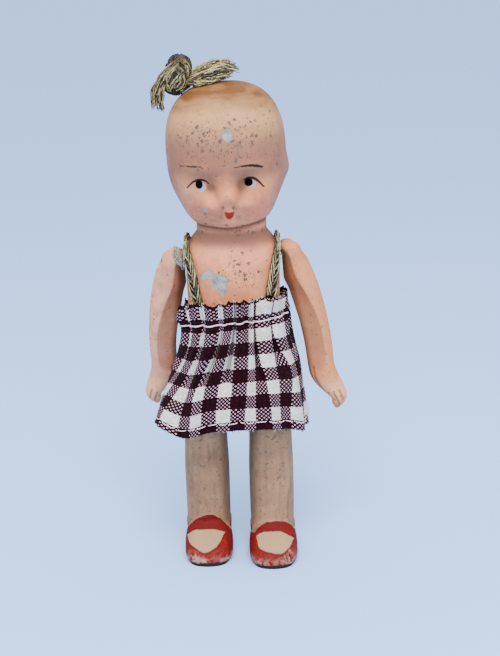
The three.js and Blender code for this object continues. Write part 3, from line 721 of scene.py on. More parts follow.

# Gives the eye warm flesh, browner on the left arm, with painted shade on the planed side and down the inner
# side and a painted highlight at the wrist and hand, with brown specks, with painted shade and soil in the
# grooves, and with soil at the fingertips and shoulder.
tree = new_material("cold-painted bisque, arms", 0.6, 0.15, *arms)
place = millimetres(tree)
soil = add(tree, "Math", {0: cover_by(tree, "soil"), 1: small_rubs(tree, place, 0.35, 0.65, 0.15, 0.85)},
           operation="MULTIPLY")
colour = coats(
    tree, flesh_tint(tree, place, "da9674", "c68160", "e0b292"),
    ("bd7038", cover_by(tree, "tan", most=0.65)),
    ("5f3f2d", cover_by(tree, "planed", 0.02, 0.07, 0.42)),
    ("38261c", cover_by(tree, "inside", most=0.7)),
    ("5d4336", smudges(tree, place)),
    ("e3a777", cover_by(tree, "painted_highlight", most=0.6)),
    ("54392d", cover_by(tree, "groove", -0.3, 0.3)),
    ("574434", soil),
    ("74503f", speckle(tree, place, 0.75, 0.22, 0.25)),
    ("6d4b3b", blotches(tree, place, 1.3, 0.1)),
)
plug(tree, Base_Color=colour, Normal=bisque_grain(tree, place, 0.2))


# Legs and shoes
# Two straight bisque legs with their feet moulded on. The strap shoes stand a little proud of the
# skin and are painted red by hand, worn at the toes and along the soles.
leg_wide = 10.3
leg_centre = leg_inner + leg_wide / 2
leg_pit = 2.95
shank_full = 2.3
foot_full = 2.4
foot_long = 17.2
foot_wide = 11.2
foot_tall = 9.6
heel_share = 0.31
sole_sunk = 0.96
shoe_proud = 0.28
# The paint lines of the shoes are drawn as they show from this many degrees above the floor.
view_tip = 16.8
leg_half = through([(0, 5.1), (0.25, 5.4), (0.5, 5.45), (0.72, 5.2), (1, 5.15)])
leg_deep = through([(0, 4.54), (0.2, 4.54), (0.5, 5.18), (1, 5.4)])
foot_half = through([
    (-1, 0.1), (-0.97, 0.25), (-0.88, 0.4), (-0.7, 0.49), (-0.45, 0.5), (0, 0.43), (0.2, 0.38), (0.28, 0.27),
    (heel_share, 0.1),
])
foot_top = through([
    (-1, 0.22), (-0.95, 0.36), (-0.8, 0.52), (-0.5, 0.7), (-0.25, 0.92), (0, 1), (0.2, 0.95),
    (heel_share, 0.55),
])


def shank_surface(turn, share, lean):
    """A straight rounded column up to share 1 at the hip, then a dome, sheared forward by the step."""
    column, rise = np.minimum(share, 1), np.maximum(share - 1, 0) * 84 * DEG
    u = rounded(np.cos(turn), shank_full) * np.cos(rise)
    v = rounded(np.sin(turn), shank_full) * np.cos(rise)
    y = leg_deep(column) * v - HIP * (1 - column) * lean
    return np.stack([leg_half(column) * u, y, HIP * column + hip_dome * np.sin(rise)], -1)


def foot_surface(turn, share, lean):
    """A rounded section at each place from the toe (-1) to the heel, sunk a little below the floor."""
    tall = foot_tall * foot_top(share) + sole_sunk
    z = tall / 2 - sole_sunk + tall / 2 * rounded(np.sin(turn), foot_full)
    y = foot_long * share / (1 + heel_share) - HIP * lean
    return np.stack([foot_wide * foot_half(share) * rounded(np.cos(turn), foot_full), y, z], -1)


def relax(obj, passes, weight):
    """Draws each point towards the mean of its neighbours, by a weight for each point."""
    ends = np.empty(len(obj.data.edges) * 2, np.int32)
    obj.data.edges.foreach_get("vertices", ends)
    a, b = ends.reshape(-1, 2).T
    points = points_of(obj)
    number = np.bincount(ends, minlength=len(points))[:, None]
    for _ in range(passes):
        total = np.zeros_like(points)
        np.add.at(total, a, points[b])
        np.add.at(total, b, points[a])
        points += (total / number - points) * weight[:, None]
    set_points(obj, points)


# Each shoe's paint lines as the front of the foot shows them: across the foot and up the picture,
# for the strap's upper edge, its lower edge, and the lower edge of the bare instep.
shoe_lines = {
    "right_leg": (
        [(-5.6, 4.6), (-4.96, 5.4), (-2.43, 7.41), (0.53, 8.21), (2.63, 7.22), (4.7, 5.21), (5.6, 4.2)],
        [(-5.6, 3.1), (-5.33, 3.43), (-3, 4.65), (0.47, 4.74), (3.9, 3.95), (4.6, 3.5)],
        [(-5.4, 3.32), (-4.86, 2.03), (-3.2, 0.82), (-0.96, -0.25), (1.54, 0.77), (2.84, 2.07), (3.9, 3.72)],
    ),
    "left_leg": (
        [(-4.8, 3.8), (-3.54, 4.92), (-1.39, 6.14), (1.81, 6.28), (4.46, 5.3), (5.3, 4.3)],
        [(-4.2, 3.1), (-3.99, 3.26), (-2, 4.02), (1.16, 4.08), (4.56, 2.65), (5.3, 2.2)],
        [(-4.1, 2.82), (-3.68, 0.88), (-1.64, -0.12), (1.46, -0.68), (3.89, 0.68), (5.09, 2.2)],
    ),
}


def shoe_paint(shape, name, lean):
    """For points about the leg's own middle: how far up the picture each is, which lie in front, and how
    far inside the bare instep and inside the shoe each is. Behind, the shoe ends at a curved top line."""
    x, y, z = shape.T
    up = z * np.cos(view_tip * DEG) + y * np.sin(view_tip * DEG)
    strap_upper, strap_lower, bare_lower = (through(line) for line in shoe_lines[name])
    first, last = (shoe_lines[name][2][k][0] for k in (0, -1))
    bare = np.min([up - bare_lower(x), strap_lower(x) - up, x - first, last - x], axis=0)
    fore = y < -2.3 - HIP * lean
    shoe = np.where(fore, np.minimum(strap_upper(x) - up, -bare), 6.2 + 1.8 * ramp(y, -2, 4) - z)
    return up, fore, bare, shoe


legs = []
for side, name, step in ((1, "left_leg", 2), (-1, "right_leg", -1)):
    lean = np.tan(step * DEG)
    own_middle = (side * leg_centre, 0, 0)
    ring_turn = once_round(72)
    leg = loft(name + "_fine", spread_over(shank_surface, ring_turn, np.linspace(0.05, 2, 90), lean))
    shares = crowded(-1, heel_share, 80, -0.98, 0.05, 3)
    combine(leg, "UNION", loft("tool", spread_over(foot_surface, ring_turn, shares, lean)))
    even = leg.modifiers.new("even", "REMESH")
    even.mode = "VOXEL"
    even.voxel_size = 0.21 * MM
    bake_modifiers(leg)
    leg.data.polygons.foreach_set("use_smooth", np.ones(len(leg.data.polygons), bool))
    shape = points_of(leg)
    relax(leg, 4, np.full(len(shape), 0.5))
    relax(leg, 24, 0.5 * hump(shape[:, 2], 9.5, 2.5))
    shape = points_of(leg)
    up, fore, bare, shoe = shoe_paint(shape, name, lean)
    normals = np.empty(len(shape) * 3, np.float32)
    leg.data.vertices.foreach_get("normal", normals)
    height = shoe_proud * ramp(shoe, -0.2, 0.2)
    if side < 0:
        button = np.where(fore, 0.55 - np.hypot(shape[:, 0] + 1.09, up - 7.1), FAR)
        height += 0.25 * hump(button, 0.12, 0.16)
    set_points(leg, shape + normals.reshape(-1, 3) * height[:, None] + own_middle)
    outside = side * (leg_inner + leg_wide)
    pit = sorted((outside - side * leg_pit, outside + side * 9))
    combine(leg, "DIFFERENCE", block((-40, -40, -20), (40, 40, 0)),
            rod_along_x(string_bore, -30, 30, 0, HIP), rod_along_x(knot_bore, *pit, 0, HIP))
    crease(leg, 48)
    shape = points_of(leg) - own_middle
    x, y, z = shape.T
    up, fore, bare, shoe = shoe_paint(shape, name, lean)
    mark(leg, "shoe", shoe)
    # Painted shadow along the bottom of the shoe, where it meets the floor.
    mark(leg, "sole_shadow", 0.95 - z)
    mark(leg, "instep", np.where(fore, np.minimum(bare, 2), FAR))
    if side < 0:
        toe_wear = hump(x, -3.5, 2) * hump(up, -2, 1.6)
        scrape = FAR
    else:
        toe_wear = hump(x, 3.2, 1.3) * hump(up, -1.2, 1.8)
        scrape = np.max([stroke(x, up, [(1.5 + k, 0.4), (2.2 + k, -1.2), (2.6 + k, -2.6)], (0.08, 0.14, 0.1))
                         for k in (0, 0.7, 1.5)], axis=0)
    mark(leg, "wear", np.where(fore, toe_wear, 0) + 0.8 * hump(z, 1.2, 1.1))
    mark(leg, "scrape", np.where(fore, scrape, FAR))
    # Painted shade down the inner side of each leg, facing the other leg.
    mark(leg, "leg_inner_shade", ramp(-side * x, 2, 4.9) * ramp(z, 3, 12))
    mark(leg, "shaded", np.maximum(ramp(up, 3, 4.6), ramp(np.abs(x), 3.9, 5.2)))
    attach(leg, name)
    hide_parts(name)
    legs.append(leg)

# Gives the eye dull tan legs with dark streaks down them and painted shade on their inner sides, and red
# shoes rubbed to primer at the edges, with painted shade on their tops and sides and a painted shadow along
# the soles.
tree = new_material("cold-painted bisque, legs and red shoes", 0.6, 0.12, *legs)
place = millimetres(tree)
ragged = add(tree, "TexNoise", {"Vector": place, "Scale": 1.6, "Detail": 5})
wear = add(tree, "Attribute", out=2, attribute_name="wear")
worn = add(tree, "Math", {0: wear, 1: small_rubs(tree, place, 0.4, 0.62, 0, 1.1)}, operation="MULTIPLY")
red = coats(
    tree, "7a120b",
    ("550b08", add(tree, "MapRange", {0: ragged, 1: 0.35, 2: 0.65})),
    ("570706", cover_by(tree, "shaded", most=0.8)),
    ("a87a68", worn),
    ("2c1512", cover_by(tree, "scrape", -0.12, 0.12, 1, ragged, 0.3)),
    ("3d0a07", cover_by(tree, "shoe", 0.55, 0.1, 0.6)),
)
colour = coats(
    tree, flesh_tint(tree, place, "967050", "846145", "a2876a"),
    ("4c3a30", patchy(tree, millimetres(tree, (1, 1, 0.12)), 0.9, 0.5, 0.74, 0, 0.5, 5)),
    ("4a372c", cover_by(tree, "leg_inner_shade", most=0.6)),
    ("5c4a40", speckle(tree, place, 0.8, 0.2, 0.2)),
    ("54443a", blotches(tree, place, 1.1, 0.4)),
    ("a68566", cover_by(tree, "instep", -0.1, 0.3, 0.7)),
    (red, cover_by(tree, "shoe", -0.1, 0.1, 1, ragged, 0.22)),
    ("1f1512", cover_by(tree, "sole_shadow", -0.15, 0.15, 1, ragged, 0.5)),
)
plug(tree, Base_Color=colour, Normal=bisque_grain(tree, place, 0.15))


# Elastics
# White round elastic: one length through both arms and the chest, one through both legs and the hips,
# each stopped by a knot in its pit. The upper one has frayed out at both shoulders, and the fibres that
# lie over the top of the doll's right arm go with that arm.
def sweep_along(name, paths, radius, sides=6):
    """Round yarns along paths shaped (yarns, places, 3): a ring square to the path at each place, carried
    along without twist. The radius is a number or one for each place."""
    paths = np.asarray(paths, float)
    along = np.gradient(paths, axis=1)
    along /= np.linalg.norm(along, axis=-1, keepdims=True) + 1e-9
    start = np.where(np.abs(along[:, 0, 2:3]) < 0.8, (0, 0, 1.0), (1.0, 0, 0))
    across = np.empty_like(paths)
    for i in range(paths.shape[1]):
        start = start - np.sum(start * along[:, i], -1, keepdims=True) * along[:, i]
        start = start / np.linalg.norm(start, axis=-1, keepdims=True)
        across[:, i] = start
    rise = np.cross(along, across)
    angle = once_round(sides)
    size = np.broadcast_to(radius, paths.shape[:2])[..., None, None]
    ring = across[:, :, None] * np.cos(angle)[:, None] + rise[:, :, None] * np.sin(angle)[:, None]
    return loft(name, paths[:, :, None] + size * ring)


def run_along(path):
    """The length run from a path's start to each of its points."""
    return np.concatenate([[0], np.cumsum(np.linalg.norm(np.diff(path, axis=0), axis=1))])


def smooth_path(points, count):
    """A smooth line through points: each coordinate as a curve of the distance along them."""
    points = np.asarray(points, float)
    at = run_along(points)
    fine = np.linspace(0, at[-1], count)
    return np.stack([through(np.stack([at, points[:, k]], -1))(fine) for k in range(3)], -1)


knot_long = 2.6


def knotted(path):
    """The radius along a knotted elastic: its own, swelling to a round knot at each end."""
    run = run_along(path)
    swell = through([(0, 0.3), (0.5, 1.05), (knot_long / 2, knot_half), (2.1, 1.05), (knot_long, string_half),
                     (3, string_half)])
    return swell(np.minimum(run, run[-1] - run))


def merge(obj, *others):
    """Joins other meshes into an object, with their kept numbers."""
    work = bmesh.new()
    for each in (obj, *others):
        work.from_mesh(each.data)
    work.to_mesh(obj.data)
    work.free()
    for each in others:
        bpy.data.objects.remove(each)


run_in_arm = np.array([(arm_pit + clearance + knot_long, 0, 0), (arm_pit, 0, 0), (0, 0, 0)])
left_run = pivot("left_shoulder") - TO_FRAME + run_in_arm
right_run = pivot("right_shoulder") - TO_FRAME - run_in_arm[::-1]
chest_run = np.array([(8.8, 0, SHOULDER), (-8.8, 0, SHOULDER - 0.6)])
arm_path = smooth_path(np.concatenate([left_run, chest_run, right_run]), 90)
arm_elastic = sweep_along("arm_elastic_fine", arm_path[None], knotted(arm_path), 14)
chance = np.random.default_rng(7)
tufts = []
# Each tuft: how many fibres, how far it may reach to each side, its root and tip, and its spread.
for count, from_x, to_x, root, tip, spread in (
    (120, -11.3, -9.9, (-11.2, -1.2, 74.6), (-11.2, -4.2, 75), 1),
    (36, 10.4, 10.9, (10.8, -1.5, 75), (10.8, -3.4, 76.6), 1),
    (80, -15, -11.5, (-11.5, -2.9, 72.3), (-13.2, -2.4, 75.6), 0.65),
):
    root = np.array(root) + spread * chance.normal(0, (0.3, 0.6, 0.7), (count, 1, 3))
    tip = np.array(tip) + spread * chance.normal(0, (0.5, 0.6, 1.2), (count, 1, 3))
    bow_out = np.array([0, -0.9, 0.4]) + spread * chance.normal(0, (0.2, 0.4, 0.6), (count, 1, 3))
    t = np.linspace(0, 1, 9)[:, None]
    strands = root + (tip - root) * t + bow_out * np.sin(t * np.pi)
    tufts.append(sweep_along("frayed_end", np.clip(strands, (from_x, -9, 0), (to_x, 9, 200)), 0.11, 5))
merge(arm_elastic, *tufts[:2])
arm_tuft = tufts[2]
arm_tuft.name = "right_arm_frayed_end"
end = leg_inner + leg_wide - leg_pit + clearance + knot_long
leg_path = smooth_path([(-end, 0, HIP), (-end / 3, 0, HIP), (end / 3, 0, HIP), (end, 0, HIP)], 80)
leg_elastic = sweep_along("leg_elastic_fine", leg_path[None], knotted(leg_path), 14)
# Gives the eye matt off-white cotton with the fine ribs of a woven cover.
tree = new_material("white elastic", 0.9, 0.2, arm_elastic, leg_elastic, arm_tuft)
place = millimetres(tree)
fibres = add(tree, "TexNoise", {"Vector": place, "Scale": 3, "Detail": 4})
colour = coats(tree, "a9a18d", ("5c564a", add(tree, "MapRange", {0: fibres, 1: 0.35, 2: 0.65})))
ribs = add(tree, "Bump", {"Strength": 0.6, "Distance": 0.08 * MM, "Height": fibres})
plug(tree, Base_Color=colour, Normal=ribs)
for obj, node in ((arm_elastic, "arm_elastic"), (leg_elastic, "leg_elastic")):
    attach(obj, "body")
    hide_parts(node)
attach(arm_tuft, "right_arm")


# Straps
# Two lengths of flat braid in tarnished khaki and near-black yarn, tucked inside the skirt's heading
# in front and behind and lying over the shoulders beside the neck.
WAIST = HIP + TRUNK * 0.55
strap_low = WAIST + 1.72
strap_top_z = SHOULDER + 3.84
strap_half = 2.3
strap_thick = 1.1
strap_lift = 0.9
# The plait: its strands, and the length of cord in which a strand swings across and back.
strand_count = 7
swing_long = 12.5
yarn_half = 0.13
yarn_sides = 6
front_place = through([(strap_low, 7.6), (HIP + TRUNK * 0.84, 8.5), (strap_top_z, torso_half(strap_top_z))])
back_place = through([(strap_low, 7.26), (HIP + TRUNK * 0.84, 8.36), (strap_top_z, torso_half(strap_top_z))])
strap_slim = through([(strap_low, 0.74), (SHOULDER, 0.54), (strap_top_z, 0.27)])


def torso_level(p):
    """1 on the torso's surface, less inside it."""
    deep = np.where(p[:, 1] < 0, torso_front(p[:, 2]), torso_back(p[:, 2]))
    return np.abs(p[:, 0] / torso_half(p[:, 2])) ** torso_full + np.abs(p[:, 1] / deep) ** torso_full


def on_torso(x, z, face):
    """Points on the torso's front (-1) or back (1), and the normals there from the level's slope."""
    deep = torso_front(z) if face < 0 else torso_back(z)
    room = np.maximum(0, 1 - np.abs(x / torso_half(z)) ** torso_full) ** (1 / torso_full)
    p = np.stack([x, face * np.maximum(deep * room, 0.02), z], -1)
    nudges = np.eye(3) * 0.05
    normal = np.stack([torso_level(p + n) - torso_level(p - n) for n in nudges], -1)
    return p, normal / np.linalg.norm(normal, axis=1, keepdims=True)


def even_along(path, *others, step=0.22):
    """The lengths run along a path at even steps, and the path and what goes with it at those steps."""
    run = run_along(path)
    fine = np.linspace(0, run[-1], int(run[-1] / step))
    return [fine] + [np.stack([np.interp(fine, run, a[:, k]) for k in range(3)], -1) for a in (path, *others)]


def braid(name, path, normal, half_width, thick):
    """A seven-strand flat plait of four yarns a strand. A strand swings across as a sine and over and under
    at twice the rate; its yarns lie side by side, darker at its edges as tarnish and as painted shade where
    the strands meet. A dark flat core fills the gaps as painted shade between the yarns."""
    run, path, normal = even_along(path, normal)
    across = np.cross(np.gradient(path, axis=0), normal)
    across /= np.linalg.norm(across, axis=1, keepdims=True)
    wide = half_width(path[:, 2])
    lines, tints = [], []
    for strand in range(strand_count):
        phase = 2 * np.pi * (run / swing_long + strand / strand_count)
        for yarn in (-1.5, -0.5, 0.5, 1.5):
            lat = wide * (0.8 * np.sin(phase) + 0.085 * yarn)
            over = thick * (0.3 * np.sin(2 * phase) + 0.12 + 0.08 * np.cos(yarn / 1.2))
            wander = 0.06 * np.sin(run * chance.uniform(1.5, 3) + yarn)
            lines.append(path + across * (lat + wander)[:, None] + normal * over[:, None])
            tints.append(chance.uniform(0, 0.5) if abs(yarn) > 1 else chance.uniform(0.25, 0.95))
    yarns = sweep_along(name, lines, yarn_half, yarn_sides)
    mark(yarns, "tint", np.repeat(tints, len(run) * yarn_sides))
    angle = once_round(12)
    flat = path[:, None] + across[:, None] * (0.66 * wide[:, None, None] * np.cos(angle)[:, None])
    core = loft("core", flat + normal[:, None] * (0.3 * thick * np.sin(angle)[:, None]))
    mark(core, "tint", 0)
    merge(yarns, core)
    return yarns


straps = []
for side, name in ((1, "left_strap"), (-1, "right_strap")):
    climb = strap_low + (strap_top_z - strap_low) * np.sin(np.linspace(0, 90, 70) * DEG)
    front_points, front_normals = on_torso(side * front_place(climb), climb, -1)
    back_points, back_normals = on_torso(side * back_place(climb), climb, 1)
    normals = np.concatenate([front_normals, back_normals[::-1][1:]])
    line = np.concatenate([front_points, back_points[::-1][1:]]) + normals * strap_lift
    strap = braid(name + "_fine", line, normals, lambda z: strap_half * strap_slim(z), strap_thick)
    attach(strap, "body")
    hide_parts(name)
    straps.append(strap)

# Gives the eye dull gold-cream yarns with dark ones between them, twisted fine along their length; the
# near-black of the braid cores and of the knot's lump and windings is painted shade.
tree = new_material("tarnished braid yarn", 0.7, 0.3, *straps)
tint = add(tree, "Attribute", out=2, attribute_name="tint")
fibres = add(tree, "TexNoise", {"Vector": millimetres(tree), "Scale": 2.6, "Detail": 4})
uneven = add(tree, "MapRange", {0: fibres, 1: 0.3, 2: 0.7, 3: -0.25, 4: 0.2})
shade = add(tree, "Math", {0: tint, 1: uneven}, operation="ADD")
colour = coats(tree, "0f0b07", ("57492b", add(tree, "MapRange", {0: shade, 1: 0.12, 2: 0.5})),
               ("b3a471", add(tree, "MapRange", {0: shade, 1: 0.5, 2: 0.95})))
twisted = add(tree, "Bump", {"Strength": 0.8, "Distance": 0.1 * MM, "Height": fibres})
plug(tree, Base_Color=colour, Normal=twisted)
braid_material = straps[0].data.materials[0]


# Skirt
# A strip of yarn-dyed cotton check, eight checks to the inch, hemmed below, gathered on a running
# stitch of pink thread and left with a raw-looking frill above it. The gathers hide whole columns.
CHECK = 3.175
COLUMNS = 32
FIRST = -5
STITCH_ROW = 26.1
TOP_ROW = 31.4
hem_stitch_row = 1.9
stitch_long = 2.5
steps_a_check = 8
cloth_thick = 0.34
hem_half = 18.2
hem_deep = 13.8
skirt_full = 2.4
waist_share = 0.14
waist_tilt = np.tan(5 * DEG)
waist_dip = 0.1
hem_tilt = np.tan(1 * DEG)
skirt_drop = 26.2
frill_tall = 5.1
waist_half = float(torso_half(WAIST)) + 1.9
waist_deep = float(torso_front(WAIST)) + 2.85
skirt_half = through([(0, waist_half * 1.03), (waist_share, waist_half), (1, hem_half)])
skirt_deep = through([(0, waist_deep * 1.03), (waist_share, waist_deep), (1, hem_deep)])
# Where the column edges from -5 to 6 lie across the front, at the stitching and at the hem, and the
# share of the way down over which each gather opens. Column 0 to 1 is a dark one, mid-front at the hem.
edges_at_waist = [-7.87, -6.57, -3.58, -2.3, 0.53, 0.76, 3.49, 4.47, 4.75, 8.31, 8.5, 11.61]
edges_at_hem = [-16.8, -13.9, -11.07, -8.39, -5.11, -1.73, 1.54, 4.37, 8.03, 10.59, 12.82, 16.01]
opens_from = [0, -0.05, 0.08, -0.05, -0.2, -0.3, -0.2, 0, 0.2, 0.5, 0.1, 0]
opens_by = [0.9, 0.95, 0.68, 0.7, 0.8, 1.05, 1.1, 1, 0.62, 0.88, 0.55, 1]
# Pleats: the column in the valley, its depth, and where down the skirt it begins and ends.
pleats = [(-0.5, 2, -0.3, 0.8), (2.5, 1.8, -0.3, 0.75), (4.5, 1.6, -0.3, 0.55), (-2.5, 1.6, 0.02, 0.8),
          (-4.6, 1.1, -0.3, 0.8), (7.6, 1, -0.3, 0.85), (0.9, 1, -0.3, 0.4), (-1.6, 1, -0.3, 0.45)]


def column_turns(edge_x, half, deep):
    """The turn round the skirt of each column edge: where it is seen in front, and evenly spaced in
    length round the sides and back."""
    share = np.array(edge_x) / half
    seen = -np.arccos(np.sign(share) * np.abs(share) ** (skirt_full / 2))
    behind = np.linspace(seen[-1], seen[0] + 2 * np.pi, 600)
    cx, cy = rounded(np.cos(behind), skirt_full), rounded(np.sin(behind), skirt_full)
    run = run_along(np.stack([half * cx, deep * cy], -1))
    spaced = np.interp(np.linspace(0, run[-1], COLUMNS + 2 - len(seen)), run, behind)
    return np.concatenate([seen, spaced[1:]])


column_numbers = np.arange(FIRST, FIRST + COLUMNS + 1)
turn_at_waist = column_turns(edges_at_waist, waist_half, waist_deep)
turn_at_hem = column_turns(edges_at_hem, hem_half, hem_deep)
# The white column at the doll's right side is gathered almost out of sight at the stitching.
hidden = 25 - FIRST
turn_at_waist[hidden] += 0.8 * (turn_at_waist[hidden + 1] - turn_at_waist[hidden])
unseen = COLUMNS + 1 - len(edges_at_hem)
open_low = np.concatenate([opens_from, np.zeros(unseen)])
open_high = np.concatenate([opens_by, np.ones(unseen)])
# Half way down, the columns at the doll's left front swing round to its side.
swing = np.zeros(COLUMNS + 1)
swing[4 - FIRST:9 - FIRST] = np.array([-1, 14, 11, 7, 3]) * DEG


def wrapped(column):
    """A column's number counted once round the skirt."""
    return (column - FIRST) % COLUMNS + FIRST


def way_down(row):
    """The share of the way down from the stitching to the hem."""
    return np.clip((STITCH_ROW - row) / STITCH_ROW, 0, 1)


def turn_of(column, below):
    """The turn round the skirt of places on the cloth, from columns and the share of the way down."""
    column = wrapped(column)
    i = np.clip(np.floor(column).astype(int) - FIRST, 0, COLUMNS - 1)

    def edge(k):
        opened = ramp(below, open_low[k], open_high[k])
        swung = swing[k] * hump(below, 0.48, 0.22)
        return turn_at_waist[k] + (turn_at_hem[k] - turn_at_waist[k]) * opened + swung

    return edge(i) + (edge(i + 1) - edge(i)) * (column - np.floor(column))


def toward(turn, degrees, spread):
    """A bell round the skirt about an angle, with its spread, both in degrees, the short way round."""
    return hump((turn - degrees * DEG + np.pi) % (2 * np.pi) - np.pi, 0, spread * DEG)


# A raised leg pushes its half of the skirt up along this line, which is square to the stitching, until
# it has this share of its length.
upward = np.array([-waist_tilt, waist_dip, 1])
upward /= np.linalg.norm(upward)
pushed_share = 0.48
# An arm keeps this gap to the cloth, as far before and behind it as the root of this square.
arm_gap = 1.2
press_square = 24.5


def beside_arms(p, inset):
    """Gives way where an arm hangs against the cloth: there a point goes no further out than the arm's
    inner outline, where it hangs and where a raised leg pushes it."""
    p = p.copy()
    for side, joint in ((1, "left_shoulder"), (-1, "right_shoulder")):
        for share in (1, 0.75, pushed_share):
            drop = np.minimum(0, (p - (0, 0, WAIST)) @ upward)
            pushed = p - (1 - share) * drop[..., None] * upward
            level = (pushed[..., 2] - pivot(joint)[2]) / arm_length
            inner = hang(np.stack([arm_inner(level) * arm_reach, 0 * level, arm_length * level], -1), side)
            near = hump((pushed[..., 1] - inner[..., 1]) ** 2, 0, press_square)
            room = np.abs(inner[..., 0]) - arm_gap - inset
            p[..., 0] -= side * near * np.maximum(0, side * pushed[..., 0] - room)
    return p


def pleat_depth(local, below):
    """How deep in the pleats a place on the cloth lies."""
    depth = np.zeros(np.broadcast(local, below).shape)
    for middle, deep, start, end in pleats:
        held = ramp(below, start - 0.08, start + 0.08) * (1 - ramp(below, end - 0.5, end))
        depth = depth + deep * held * hump(local, middle, 0.4)
        depth = depth - 0.3 * deep * held * (hump(local, middle - 1, 0.5) + hump(local, middle + 1, 0.5))
    return depth


def skirt_point(column, row, out=0.0):
    """A place on the hung skirt from its column and its height up the cloth: a rounded oblong that widens
    from the stitching to the hem, waved in folds, with pleats drawn in and the frill standing out."""
    below = way_down(row)
    frill = np.clip((row - STITCH_ROW) / (TOP_ROW - STITCH_ROW), 0, 1)
    drop = np.where(frill > 0, waist_share * (1 - frill), waist_share + (1 - waist_share) * below)
    turn = turn_of(column, below)
    behind = ramp(np.sin(turn), -0.7, 0.1)
    local = wrapped(column)
    # Nine broad folds, fainter in front where the pleats are; gathers that fade below the stitching and
    # wave the frill; the dent of the stitching, the thick edge of the hem, and a last wave near it.
    wave = np.cos(9 * turn + 0.8 * np.sin(2 * turn + 1))
    fold = 0.9 * (0.3 + 0.7 * below) * wave * (0.3 + 0.7 * behind) - pleat_depth(local, below)
    gather = np.sin(2 * np.pi * (0.83 * local + 0.13 * np.sin(1.7 * local)))
    fold = fold + 0.4 * gather * (1 - ramp(below, 0, 0.55)) * (0.6 + 0.4 * behind)
    fold = fold + frill * (0.35 + 0.35 * gather + 0.3 * np.sin(5.1 * local + 1))
    fold = fold - 0.35 * hump(row, STITCH_ROW, 0.7) + 0.16 * hump(row, 0.3, 0.7)
    fold = fold + 0.35 * below ** 2 * np.sin(2.3 * local + 0.6)
    # The hem stands out and the heading pokes out at the doll's right, and the left side is drawn in.
    flare = 2.1 * below ** 3 * toward(turn, 203, 20)
    poke = 1.2 * hump(row, 28, 2.2) * toward(turn, 200, 16)
    drawn = 1.1 * below ** 2 * toward(turn, -8, 30)
    spread = fold + flare + poke - drawn + out
    x = (skirt_half(drop) + spread) * rounded(np.cos(turn), skirt_full)
    y = (skirt_deep(drop) + spread) * rounded(np.sin(turn), skirt_full)
    # The stitching tilts down to the doll's right; the hem rises in front and droops at its corners.
    waist_z = WAIST + x * waist_tilt - y * waist_dip
    raised = 2.2 * toward(turn, -85, 42) - 1.3 * toward(turn, 226, 15) - 1.2 * toward(turn, -22, 24)
    hem_z = WAIST - skirt_drop + x * hem_tilt + flare + raised + 0.12 * np.sin(2.9 * local)
    at_sides = 1.5 * (toward(turn, 5, 36) + toward(turn, 172, 32))
    top = frill * (frill_tall + 0.3 * np.sin(4.3 * local) + 0.22 * np.sin(9.1 * local + 2) - at_sides)
    return beside_arms(np.stack([x, y, waist_z + (hem_z - waist_z) * below + top], -1), -out)


def cloth_piece(name, columns, rows):
    """Part of the skirt as a thin closed shell, outside and inside joined at its edges, with each point's
    place in the check kept for the pattern, and painted shade kept for the deep pleats."""
    c, r = np.meshgrid(columns, rows, indexing="ij")

    def shell(outside, within):
        return np.concatenate([outside, within[:, ::-1]], axis=1)

    piece = loft(name, shell(skirt_point(c, r), skirt_point(c, r, -cloth_thick)))
    painted_cloth_shade = ramp(pleat_depth(wrapped(c), way_down(r)), 0.7, 1.5)
    for kept, values in (("column", c), ("row", (r + CHECK - 2.2) / CHECK), ("painted_cloth_shade", painted_cloth_shade)):
        mark(piece, kept, shell(values, values).ravel())
    return piece


def edge_fibres(name, row, count, first, last, rise):
    """Loose fibres along an edge of the cloth: short bent hairs standing up or down from it. A hair is one
    yarn, so its row is set like its column, and it takes one colour."""
    places = 4
    sides = 3
    column = chance.uniform(first, last, count)
    row = np.full(count, row)
    root = skirt_point(column, row, -cloth_thick / 2)
    away = skirt_point(column, row, 1) - skirt_point(column, row)
    lean = away * chance.normal(0.1, 0.35, (count, 1)) + chance.normal(0, 0.25, (count, 3)) + (0, 0, 1)
    length = rise * chance.uniform(0.3, 1, (count, 1))
    t = np.linspace(0, 1, places)[:, None, None]
    curl = chance.normal(0, 0.25, (count, 3)) * length
    hairs = sweep_along(name, np.moveaxis(root + lean * length * t + curl * t * t, 0, 1), 0.06, sides)
    for kept in ("column", "row"):
        mark(hairs, kept, np.repeat(column, places * sides))
    # A little painted shade on the hairs.
    mark(hairs, "painted_cloth_shade", 0.3)
    return hairs


back_column = float(np.round(np.interp(np.pi / 2, turn_at_hem, column_numbers)))
panel_rows = np.concatenate([[0, 0.12], np.linspace(0.4, STITCH_ROW, 68)])
frill_rows = np.concatenate([np.linspace(STITCH_ROW, TOP_ROW - 0.3, 17), [TOP_ROW - 0.1, TOP_ROW]])
panels = {}
for name, joint, first, last in (
    ("skirt_left_half", "left_hip", 1, back_column),
    ("skirt_right_half", "right_hip", back_column, 1 + COLUMNS),
):
    panel = cloth_piece(name, np.linspace(first, last, int(last - first) * steps_a_check + 1), panel_rows)
    merge(panel, edge_fibres("hairs", 0.0, 150, first, last, -0.4))
    panels[name] = (panel, joint, first, last)
frill = cloth_piece("skirt_heading", np.linspace(1, 1 + COLUMNS, COLUMNS * steps_a_check + 1), frill_rows)
merge(frill, edge_fibres("hairs", TOP_ROW, 420, 1, 1 + COLUMNS, 0.28))
